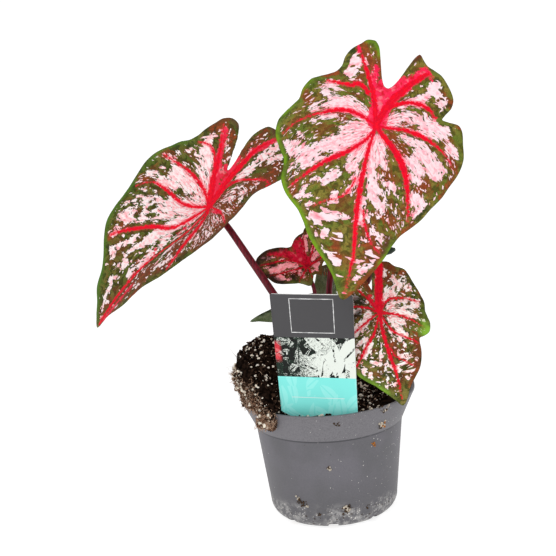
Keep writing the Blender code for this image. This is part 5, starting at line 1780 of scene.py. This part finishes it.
@dataclass
class PottingMix:
    """The mix in the pot: the heap, crumbs, perlite, bark, coir fibres and root hairs.

    The mix hidden in the pot stays smooth, and it is less rough by the wall. The clump that hangs
    over the rim at the left is drawn in and lifted a little.
    """

    finish: MixFinish = field(default_factory=MixFinish)
    voxel: float = 1.3
    hidden_top: float = 80.0
    hidden_reach: float = 59.0
    wall_top: float = 89.0
    wall_reach: float = 56.0
    wall_calm: float = 0.25
    clump_reach: float = 58.0
    clump_pull: float = 12.0
    clump_lift: float = 0.55
    seed: int = 7
    slot: str = "potting_mix"
    crumbs: int = 3400
    large_every: int = 70
    large_perlite: float = 1.6
    clinging_bits: int = 9
    thread_steps: int = 7

    def _heap(self, source: Piece) -> Piece:
        """The body of the mix, roughened where it shows.

        Args:
            source: The solid mix of the model.

        Returns:
            The heap.
        """
        heap = bpy.data.objects.new("potting_mix_heap", source.data.copy())
        heap.data.name = "potting_mix_heap"
        bpy.context.collection.objects.link(heap)
        edit_all(heap, weld)
        apply_modifier(heap, "REMESH", mode="VOXEL", voxel_size=self.voxel * MM)
        places = points_of(heap) / MM
        for i, (x, y, z) in enumerate(places):
            reach = math.hypot(x, y)
            if z < self.hidden_top and reach < self.hidden_reach:
                continue
            spot = Vector((x, y, z))
            lump = noise.fractal(spot * 0.16, 1.0, 2.0, 3) * 1.5
            crumb = noise.fractal(spot * 0.55, 0.9, 2.2, 2)
            out = Vector((x + 12.0, y, z - 78.0)).normalized() * (lump + crumb)
            by_wall = reach > self.wall_reach and z < self.wall_top
            places[i] += np.array(out) * (self.wall_calm if by_wall else 1.0)
            if reach > self.clump_reach and x < 0.0:
                below = np.clip((90.5 - z) / 3.5, 0.0, 1.0)
                places[i][0] += self.clump_pull * below * np.clip((-x - 49.0) / 5.0, 0.0, 1.0)
                places[i][2] += self.clump_lift * max(84.0 - z, 0.0)
        bend(heap, places)
        return heap

    def _spots(self, heap: Piece, count: int, draw: random.Random,
               keep: Callable[[Vector], bool]) -> list[tuple[Vector, Vector]]:
        """Random places on the heap's showing surface.

        Args:
            heap: The body of the mix.
            count: How many.
            draw: The random draw.
            keep: Says of a place in millimetres whether it may be used.

        Returns:
            Places and normals, in millimetres.
        """
        faces = [p for p in heap.data.polygons if keep(Vector(p.center) / MM)]
        spots = []
        for _ in range(count):
            face = draw.choice(faces)
            jitter = any_way(draw) * 0.6
            spots.append((Vector(face.center) / MM + jitter, Vector(face.normal)))
        return spots

    def _strew(self, kind: Scatter, spots: list[tuple[Vector, Vector]], sizes: list[float],
               flat: Point, draw: random.Random) -> Piece:
        """Copies of one small lump, each turned and sized by chance, as one piece.

        Args:
            kind: What is strewn.
            spots: Where.
            sizes: Each lump's radius.
            flat: How each lump is squashed.
            draw: The random draw.

        Returns:
            The piece.
        """
        deselect()
        bpy.ops.mesh.primitive_ico_sphere_add(subdivisions=2 if kind is Scatter.PERLITE else 1,
                                              radius=1.0)
        lump = bpy.context.active_object
        shape = [v.co.copy() for v in lump.data.vertices]
        faces = [tuple(p.vertices) for p in lump.data.polygons]
        bpy.data.objects.remove(lump, do_unlink=True)
        verts, polygons = [], []
        for (spot, normal), size in zip(spots, sizes):
            turn = Matrix.Rotation(draw.uniform(0, 6.28), 3, Vector(
                (draw.uniform(-1, 1), draw.uniform(-1, 1), draw.uniform(-1, 1) + 0.01)).normalized())
            start = len(verts)
            for corner in shape:
                grow = size * draw.uniform(0.72, 1.22)
                point = Vector((corner[0] * flat[0], corner[1] * flat[1], corner[2] * flat[2]))
                verts.append((spot + turn @ point * grow + normal * size * 0.15) * MM)
            polygons += [tuple(start + v for v in face) for face in faces]
        return add_mesh("potting_mix_" + kind.value, verts, polygons)

    def _threads(self, name: str, lines: list[tuple[Array, float]]) -> Piece:
        """Fine threads as one piece of thin three-sided tubes.

        Args:
            name: The piece's name.
            lines: Each thread's path and its radius at the start.

        Returns:
            The piece.
        """
        verts, faces = [], []
        for path, radius in lines:
            side = np.array((1.0, 0.0, 0.0))
            start, last = len(verts), len(path) - 1
            for i, point in enumerate(path):
                ahead = path[min(i + 1, last)] - path[max(i - 1, 0)]
                ahead = ahead / (np.linalg.norm(ahead) + 1e-9)
                side = side - ahead * side.dot(ahead)
                side = side / (np.linalg.norm(side) + 1e-9)
                other = np.cross(ahead, side)
                thin = radius * (1.0 - 0.6 * i / last)
                for k in range(3):
                    a = 2 * math.pi * k / 3
                    place = point + thin * (math.cos(a) * side + math.sin(a) * other)
                    verts.append(tuple(place * MM))
            for low in range(start, start + 3 * last, 3):
                for k in range(3):
                    n = (k + 1) % 3
                    faces.append((low + k, low + n, low + 3 + n, low + 3 + k))
            end = start + 3 * last
            faces += [(start + 2, start + 1, start), (end, end + 1, end + 2)]
        return add_mesh(name, verts, faces)

    def _curl(self, spot: Vector, normal: Vector, length: float, curl: float, drop: float,
              draw: random.Random) -> Array:
        """A crooked thread that starts in the mix and wanders off its surface.

        Args:
            spot: Where it starts.
            normal: The surface's normal there.
            length: Its length.
            curl: How crooked it is.
            drop: How fast it sinks.
            draw: The random draw.

        Returns:
            The thread's points.
        """
        way = any_way(draw)
        way = (way - normal * way.dot(normal) * 0.8).normalized()
        point = spot - normal * 0.3
        path = []
        for i in range(self.thread_steps):
            path.append(np.array(point))
            way = (way + any_way(draw) * curl + Vector((0, 0, -drop))).normalized()
            point = point + way * (length / self.thread_steps)
            if i == 1:
                point = point + normal * 0.5
        return np.array(path)

    def build(self, source: Piece) -> None:
        """Make the heap and strew it.

        Args:
            source: The solid mix of the model.
        """
        def shows(p: Vector) -> bool:
            """Whether a place is on the open top or the hanging clump."""
            return p.z > 83.0 and math.hypot(p.x, p.y) < 57.5 or math.hypot(p.x, p.y) > 61.5

        def open_top(p: Vector) -> bool:
            """Whether a place is on the heap above the clump that hangs over the rim."""
            return shows(p) and (p.z > 93.0 or math.hypot(p.x, p.y) < 57.5)

        def left_side(p: Vector) -> bool:
            """Whether a place is on the brown, fibrous left of the heap."""
            return shows(p) and p.x + 0.5 * p.z < 4.0 and p.y < 6.0 and p.z < 114.0

        def clump(p: Vector) -> bool:
            """Whether a place is on the clump that hangs over the rim."""
            return math.hypot(p.x, p.y) > 61.0 and p.z < 92.0

        def right_side(p: Vector) -> bool:
            """Whether a place is on the open mix at the right, in front."""
            return 82.0 < p.z < 92.0 and math.hypot(p.x, p.y) < 57.0 and p.x > 8.0 and p.y < 10.0

        def hairy_edge(p: Vector) -> bool:
            """Whether a place is on the outer left of the heap, where root hairs stick out."""
            return p.x < -58.0 and 92.0 < p.z < 118.0

        draw = random.Random(self.seed)
        finish, heap = self.finish, self._heap(source)
        peat = finish.build("peat", finish.peat, finish.brown, 0.35, 0.95, True)
        dress(heap, peat, 180.0, self.slot, "potting_mix")

        spots = self._spots(heap, self.crumbs, draw, shows)
        sizes = [0.45 + 1.7 * draw.random() ** 3 for _ in spots]
        crumbs = self._strew(Scatter.CRUMB, spots, sizes, (1.0, 0.85, 0.7), draw)
        look = finish.build("peat_crumbs", finish.peat, finish.crumb, 0.3, 0.95, True)
        dress(crumbs, look, 50.0, self.slot)

        spots = self._spots(heap, 950, draw, open_top) + self._spots(heap, 200, draw, left_side)
        sizes = [0.3 + 1.1 * draw.random() ** 2.6 for _ in spots]
        for k in range(0, len(sizes), self.large_every):
            sizes[k] = self.large_perlite
        perlite = self._strew(Scatter.PERLITE, spots, sizes, (1.0, 0.9, 0.75), draw)
        other_draw = random.Random(self.seed + 1)
        spots = self._spots(heap, 44, other_draw, right_side)
        sizes = [other_draw.uniform(0.5, 1.15) for _ in spots]
        more = self._strew(Scatter.PERLITE, spots, sizes, (1.0, 0.8, 0.6), other_draw)
        look = finish.build("perlite", finish.perlite_shade, finish.perlite, 0.5, 0.9)
        dress(join([perlite, more], "potting_mix_perlite"), look, 50.0, self.slot)

        spots = self._spots(heap, 1300, draw, shows) + self._spots(heap, 1300, draw, left_side)
        sizes = [0.4 + draw.random() ** 2 for _ in spots]
        bark = self._strew(Scatter.BARK, spots, sizes, (1.0, 0.5, 0.22), draw)
        look = finish.build("bark_chips", finish.bark_shade, finish.bark, 0.35, 0.85)
        dress(bark, look, 30.0, self.slot)

        lines = []
        for area, count, drop in ((shows, 460, 0.1), (left_side, 640, 0.15), (clump, 380, 0.25)):
            for spot, normal in self._spots(heap, count, draw, area):
                path = self._curl(spot, normal, 4.5 * draw.uniform(0.4, 1.3), 0.55, drop, draw)
                lines.append((path, draw.uniform(0.1, 0.28)))
        look = finish.build("coir_fibre", finish.fibre_shade, finish.fibre, 0.8, 0.8)
        dress(self._threads("potting_mix_fibres", lines), look, 0.0, self.slot)

        hairs = []
        for spot, normal in self._spots(heap, 26, draw, hairy_edge):
            path = self._curl(spot, normal, draw.uniform(3.0, 15.0), 0.35, 0.02, draw)
            hairs.append((path, draw.uniform(0.1, 0.2)))
        look = finish.build("root_hair", finish.root_shade, finish.root, 0.2, 0.7)
        dress(self._threads("root_hairs", hairs), look, 0.0, self.slot)
        self._clinging(draw)

    def _clinging(self, draw: random.Random) -> None:
        """Crumbs that stick to the pot's wall, a few bits at each place.

        Args:
            draw: The random draw.
        """
        for tone, colour, rows in CLINGING:
            spots, sizes = [], []
            for turn, height, reach, size in rows:
                way = Vector((math.sin(math.radians(turn)), -math.cos(math.radians(turn)), 0.0))
                middle = way * reach + Vector((0.0, 0.0, height))
                for _ in range(self.clinging_bits):
                    slip = Vector([draw.uniform(-1.2, 1.2) for _ in range(3)]) * size
                    spots.append((middle + slip - way * slip.dot(way), way))
                    sizes.append(size * draw.uniform(0.25, 0.75))
            piece = self._strew(Scatter.CRUMB, spots, sizes, (1.0, 0.8, 0.6), draw)
            piece.name = piece.data.name = "clinging_crumbs_" + tone
            shade = tuple(part * 0.6 for part in colour[:3]) + (1.0,)
            look = self.finish.build("clinging_" + tone, shade, colour, 0.6, 0.9)
            dress(piece, look, 50.0, self.slot)


class LabelZone(Enum):
    """Where the card's upper zones start, as shares of its height from the bottom."""

    PICTURE = 0.30
    SLATE = 0.635


@dataclass(frozen=True)
class CardFinish:
    """Printed plastic card: a slate top with a thin frame, a foliage picture and a sea-green foot."""

    slate: Colour = srgb(70, 69, 71)
    sea: Colour = srgb(128, 230, 222)
    sea_light: Colour = srgb(176, 244, 238)
    core: Colour = srgb(232, 232, 230)
    frame: Colour = srgb(236, 236, 236)
    night: Colour = srgb(1, 3, 1)
    fern: Colour = srgb(8, 36, 22)
    bleached: Colour = srgb(226, 232, 224)
    blossom: Colour = srgb(220, 52, 66)
    tall: float = 78.0
    wide: float = 53.0
    frame_middle: tuple[float, float] = (26.2, 63.8)
    frame_half: tuple[float, float] = (14.0, 11.0)

    def _foliage(self, desk: NodeDesk, place: Socket, scale: float, spread: float,
                 tall: float) -> tuple[Socket, Socket]:
        """Printed leaves: one pointed oval in each cell, turned by chance, with a midrib.

        Args:
            desk: The material's desk.
            place: Where to draw.
            scale: Cells a millimetre.
            spread: Half the leaf's length, as a share of its cell.
            tall: Half the leaf's width, as a share of its cell.

        Returns:
            The leaves' mask and the colour of each leaf's cell.
        """
        node = desk.add("ShaderNodeTexVoronoi", {"Vector": place, "Scale": scale, "Randomness": 0.9})
        cell, cells = node.outputs["Color"], (scale, scale, scale)
        local = desk.add("ShaderNodeVectorMath", {
            0: desk.stretch(place, cells), 1: desk.stretch(node.outputs["Position"], cells)},
            operation="SUBTRACT").outputs[0]
        turned = desk.add("ShaderNodeVectorRotate", {
            "Vector": local, "Angle": desk.times(desk.split(cell)[0], 6.28)},
            rotation_type="Z_AXIS").outputs[0]
        across, up, _ = desk.axes(turned)
        along = desk.math("DIVIDE", across, spread)
        half = desk.times(desk.most(desk.minus(1.0, desk.times(along, along)), 0.0), tall)
        gap = desk.math("ABSOLUTE", up)
        return desk.times(desk.under(gap, half), desk.over(gap, 0.035)), cell

    def _picture(self, desk: NodeDesk, place: Socket, across: Socket, up: Socket) -> Socket:
        """The foliage picture: three sizes of pale leaves on dark green, with one red patch.

        Args:
            desk: The material's desk.
            place: The card's map, in millimetres.
            across: Its first coordinate.
            up: Its second coordinate.

        Returns:
            The picture's colour.
        """
        streak = desk.noise(desk.stretch(place, (0.5, 1.6, 1.0)), 0.5, 3.0, 0.6, 1.2)
        fine = desk.noise(desk.stretch(place, (1.0, 0.6, 1.0)), 1.1, 3.0, 0.7, 2.0)
        picture = desk.mix(desk.ramp(streak, 0.5, 0.66), self.night, self.fern)
        for way, scale, spread, thick, pale in (
                ((40.0, 13.0, 0.0), 0.2, 0.6, 0.2, 0.45), ((9.0, 5.0, 0.0), 0.11, 0.66, 0.28, 0.45),
                ((24.0, 9.0, 0.0), 0.058, 0.8, 0.4, 0.62)):
            leaves, cell = self._foliage(desk, desk.move(place, way), scale, spread, thick)
            light = desk.plus(desk.times(desk.split(cell)[1], 0.5),
                              desk.ramp(across, 12.0, 30.0, pale - 0.35, pale))
            light = desk.plus(light, desk.sway(fine, 2.4))
            leaf = desk.mix(desk.ramp(light, 0.46, 0.62), self.fern, self.bleached)
            if pale > 0.6:
                leaves = desk.times(leaves, desk.ramp(across, 15.0, 16.0))
            picture = desk.mix(leaves, picture, leaf)
        flush = desk.times(desk.ramp(across, 2.2, 5.0, 1.0, 0.0),
                           desk.ramp(desk.gap(up, 40.0), 4.0, 8.0, 1.0, 0.0))
        flush = desk.times(flush, desk.ramp(streak, 0.36, 0.46))
        return desk.mix(desk.times(flush, 0.9), picture, self.blossom)

    def build(self) -> Material:
        """The card's material, laid out on its own map in millimetres.

        Returns:
            The material.
        """
        made, desk = start_material("printed_card", 0.4, 0.2)
        place = desk.laid("print")
        across, up, _ = desk.axes(place)
        picture = self._picture(desk, place, across, up)

        ghost, _ = self._foliage(desk, desk.move(place, (7.0, 31.0, 0.0)), 0.075, 0.66, 0.28)
        sea = desk.mix(desk.times(ghost, 0.35), self.sea, self.sea_light)
        rule = desk.under(desk.gap(up, 9.8), 0.2)
        inset = desk.under(desk.gap(across, self.wide / 2), 18.0)
        sea = desk.mix(desk.times(desk.times(rule, inset), 0.7), sea, self.core)

        box = desk.most(desk.minus(desk.gap(across, self.frame_middle[0]), self.frame_half[0]),
                        desk.minus(desk.gap(up, self.frame_middle[1]), self.frame_half[1]))
        line = desk.under(desk.math("ABSOLUTE", box), 0.22)
        fade = desk.ramp(desk.noise(place, 0.25), 0.35, 0.6, 0.5, 1.0)
        slate = desk.mix(desk.times(line, fade), self.slate, self.frame)

        colour = desk.mix(desk.over(up, LabelZone.PICTURE.value * self.tall), sea, picture)
        colour = desk.mix(desk.over(up, LabelZone.SLATE.value * self.tall), colour, slate)
        colour = desk.mix(desk.under(up, -6.0), colour, self.core)
        desk.feed("Base Color", desk.mix(desk.over(up, self.tall - 0.35), colour, self.core))
        desk.feed("Roughness", desk.plus(desk.times(desk.noise(place, 0.4, 3.0), 0.2), 0.28))
        desk.bump(desk.grain(place, 0.3, 0.3), 0.08, 0.0004)
        return made


@dataclass
class PlantLabel:
    """The label: a card on a pointed stake that bends back into the mix.

    Its outline is walked from the point up, in the given numbers of steps: along the point, the
    stake and the shoulder, up the card, and round its top corners.
    """

    top_left: Point = (-34.5, -38.0, 167.3)
    top_right: Point = (19.3, -49.0, 165.0)
    low_left: Point = (-32.5, -42.0, 87.3)
    low_right: Point = (17.4, -52.0, 84.4)
    thickness: float = 0.5
    stake_width: float = 14.0
    shoulder_drop: float = 9.0
    stake_run: Point = (0.0, 5.0, -34.0)
    point_run: float = 7.0
    corner: float = 1.5
    bow: float = 0.5
    steps: tuple[int, ...] = (6, 14, 8, 40, 4)

    def _edges(self, across: Array, up: Array, middle: Array) -> list[Array]:
        """The card's and its stake's left and right edges, from the point up.

        Args:
            across: The card's way to the right.
            up: The card's way up.
            middle: The middle of its lower edge.

        Returns:
            Both edges.
        """
        top_left, top_right = np.array(self.top_left), np.array(self.top_right)
        run = np.array(self.stake_run)
        shoulder = middle - up * self.shoulder_drop
        foot = shoulder + run
        point = foot + run / np.linalg.norm(run) * self.point_run
        half, corner = across * (self.stake_width / 2), across * self.corner
        rows = [(point - corner, point + corner), (foot - half, foot + half),
                (shoulder - half, shoulder + half),
                (np.array(self.low_left), np.array(self.low_right)),
                (top_left - up * self.corner, top_right - up * self.corner),
                (top_left + corner, top_right - corner)]

        def rounded(start: Array, way: Array, t: float) -> Array:
            """The place at share t of a rounded corner."""
            return start + (way.dot(up) * up * t
                            + way.dot(across) * across * (1 - math.cos(t * math.pi / 2)))

        edges = []
        for side in (0, 1):
            edge = [rows[0][side]]
            for number, count in enumerate(self.steps):
                start, end = rows[number][side], rows[number + 1][side]
                last = number == len(self.steps) - 1
                for t in (k / count for k in range(1, count + 1)):
                    edge.append(rounded(start, end - start, t) if last else start + (end - start) * t)
            edges.append(np.array(edge))
        return edges

    def build(self, finish: CardFinish) -> None:
        """Shape a grid into the card and its stake, thicken it and print it.

        Args:
            finish: The printed card's look.
        """
        low_left, low_right = np.array(self.low_left), np.array(self.low_right)
        top_left, top_right = np.array(self.top_left), np.array(self.top_right)
        across = (low_right - low_left) / np.linalg.norm(low_right - low_left)
        up = (top_left + top_right) - (low_left + low_right)
        up /= np.linalg.norm(up)
        middle = (low_left + low_right) / 2
        lefts, rights = self._edges(across, up, middle)
        card, right, along = add_grid("plant_label", 24, len(lefts) - 1)
        row = np.rint(along * (len(lefts) - 1)).astype(int)

        def span(left_place: Array, right_place: Array) -> Array:
            """Each point's place between one on the left and one on the right."""
            return left_place * (1 - right)[:, None] + right_place * right[:, None]

        flat = span(lefts[row], rights[row])
        bow = self.bow * np.sin(np.pi * right) * np.clip((flat - middle).dot(up) / 60, 0, 1)
        bend(card, flat + bow[:, None] * np.cross(across, up))
        low, top = span(low_left, low_right), span(top_left, top_right)
        height = (flat - low).dot(up) / (top - low).dot(up)
        lay_map(card, "print", right * finish.wide, height * finish.tall)
        card.data.materials.append(finish.build())
        card.data.materials.append(MixFinish().build(
            "card_back", srgb(222, 222, 220), srgb(232, 232, 231), 0.1, 0.45))
        apply_modifier(card, "SOLIDIFY", thickness=self.thickness * MM, offset=0.0,
                       material_offset=1, material_offset_rim=1)
        apply_modifier(card, "BEVEL", width=0.12 * MM, segments=2, limit_method="ANGLE")
        smooth(card, 30.0)
        printed = sum((np.array(p.normal) for p in card.data.polygons if p.material_index == 0),
                      np.zeros(3))
        if printed[1] > 0:
            for polygon in card.data.polygons:
                polygon.material_index = 1 - polygon.material_index
        finish_piece(card, "label_card", "label")


@dataclass
class Studio:
    """The white studio: a floor, soft lights and the camera.

    The camera's place is in metres and its turns in radians, and focal is in the photograph's
    pixels.
    """

    eye: Point = (-0.035, -1.10, 0.446)
    pitch: float = 0.248
    roll: float = 0.076
    yaw: float = 0.0065
    focal: float = 1680.0
    sky: float = 0.62

    def floor(self) -> None:
        """A wide white floor."""
        deselect()
        bpy.ops.mesh.primitive_plane_add(size=16.0, location=(0.0, 0.0, 0.0))
        floor = bpy.context.active_object
        floor.name = "studio_floor"
        made, desk = start_material("white_floor", 0.9, 0.1)
        look = desk.target.inputs
        look["Base Color"].default_value = (0.45, 0.45, 0.45, 1.0)
        look["Emission Color"].default_value = (1.0, 1.0, 1.0, 1.0)
        look["Emission Strength"].default_value = 0.8
        floor.data.materials.append(made)

    def light(self, name: str, place: Point, size: float, power: float) -> None:
        """A soft square light that looks at the plant.

        Args:
            name: The light's name.
            place: Where it stands, in metres.
            size: Its side, in metres.
            power: Its power, in watts.
        """
        deselect()
        bpy.ops.object.light_add(type="AREA", location=place)
        lamp = bpy.context.active_object
        lamp.name = name
        lamp.data.shape = "SQUARE"
        lamp.data.size = size
        lamp.data.energy = power
        way = Vector((0.0, 0.0, 0.15)) - Vector(place)
        lamp.rotation_euler = way.to_track_quat("-Z", "Y").to_euler()

    def world(self) -> None:
        """An even white surround, shown as drawn."""
        scene = bpy.context.scene
        scene.world = scene.world or bpy.data.worlds.new("studio")
        scene.world.use_nodes = True
        tree = scene.world.node_tree
        desk = NodeDesk(tree, tree.nodes["Background"])
        desk.target.inputs["Color"].default_value = (1.0, 1.0, 1.0, 1.0)
        seen = desk.add("ShaderNodeLightPath").outputs["Is Camera Ray"]
        desk.feed("Strength", desk.plus(desk.times(seen, 1.0 - self.sky), self.sky))
        scene.view_settings.view_transform = "Standard"
        scene.view_settings.look = "None"

    def camera(self) -> None:
        """The camera, at the photograph's viewing angle."""
        right = Vector((math.cos(self.yaw), -math.sin(self.yaw), 0.0))
        level = Vector((math.sin(self.yaw), math.cos(self.yaw), 0.0))
        ahead = level * math.cos(self.pitch) + Vector((0.0, 0.0, -1.0)) * math.sin(self.pitch)
        up = right.cross(ahead)
        turned_right = right * math.cos(self.roll) - up * math.sin(self.roll)
        turned_up = right * math.sin(self.roll) + up * math.cos(self.roll)
        axes = Matrix((turned_right, turned_up, -ahead)).transposed()
        deselect()
        bpy.ops.object.camera_add(location=self.eye)
        camera = bpy.context.active_object
        camera.name = "studio_camera"
        camera.rotation_euler = axes.to_euler()
        camera.data.sensor_width = 36.0
        camera.data.lens = 36.0 * self.focal / IMAGE_SIDE
        camera.data.clip_start, camera.data.clip_end = 0.05, 20.0
        bpy.context.scene.camera = camera

    def build(self) -> None:
        """Set the studio up."""
        self.floor()
        self.world()
        self.light("key_light", (-0.35, -1.0, 1.2), 0.8, 4.4)
        self.light("fill_light", (0.9, -0.9, 0.5), 1.2, 1.8)
        self.light("low_light", (-0.4, -0.8, 0.1), 0.5, 1.3)
        self.camera()


LEAVES = (
    Leaf(FRONT_FORM, ROSE),
    Leaf(LEFT_FORM, LEFT_ROSE),
    Leaf(LOW_FORM, LOW_ROSE, lateral_step=5.0, pucker=0.25),
    Leaf(BACK_FORM, BACK_ROSE, lateral_step=4.5, pucker=0.2, groove=0.35, crown=0.22),
    Leaf(GREEN_FORM, PLAIN_GREEN, slot="green_blade", vein_slot=None, lateral_step=4.0, pucker=0.15,
         groove=0.3),
)

STALKS = (
    Stalk("front_petiole", ((3.5, -5.5, 74.5), (4.5, -4.0, 105.0), (4.5, 1.0, 135.0),
                            (7.0, 3.0, 161.0), (16.0, 2.0, 200.0), (31.0, -5.0, 240.0)),
          2.5, 1.7, 3.0, FRONT_FORM),
    Stalk("left_petiole", ((-5.5, -0.5, 75.0), (-9.0, 0.5, 105.0), (-19.0, 2.5, 132.0),
                           (-32.7, 7.0, 156.8), (-46.0, 14.0, 179.0), (-59.3, 22.0, 200.5)),
          3.0, 1.9, 3.0, LEFT_FORM),
    Stalk("low_petiole", ((9.5, -0.5, 73.5), (12.0, -1.5, 98.0), (17.5, -4.0, 118.0),
                          (25.0, -10.0, 133.0), (33.0, -18.0, 141.5)), 1.8, 1.3, 2.0, LOW_FORM),
    Stalk("back_petiole", ((-3.5, 6.0, 74.5), (-4.0, 8.0, 105.0), (-3.5, 9.5, 130.0),
                           (-3.4, 13.0, 144.0), (-3.8, 18.0, 154.5)), 1.6, 1.2, 2.0, BACK_FORM),
    Stalk("green_petiole", ((2.5, 8.0, 73.5), (4.0, 15.0, 100.0), (4.0, 26.0, 122.0)),
          1.4, 1.1, 2.0, GREEN_FORM),
)


def main() -> None:
    """Build the looks round the model, piece by piece."""
    logging.basicConfig(level=logging.INFO, format="%(message)s")
    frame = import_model()

    NurseryPot().build(PotFinish())
    PottingMix().build(frame["nodes"]["potting_mix"])
    PlantLabel().build(CardFinish())
    for leaf in LEAVES:
        leaf.build()
    skin = StalkFinish().build()
    for stalk in STALKS:
        stalk.build(skin)
    NewLeaf().build(skin)

    tuber = frame["nodes"]["tuber"]
    tuber.data.materials.clear()
    tuber.data.materials.append(MixFinish().build(
        "tuber_skin", srgb(70, 46, 30), srgb(120, 84, 56), 0.2))

    Studio().build()


if __name__ == "__main__":
    main()
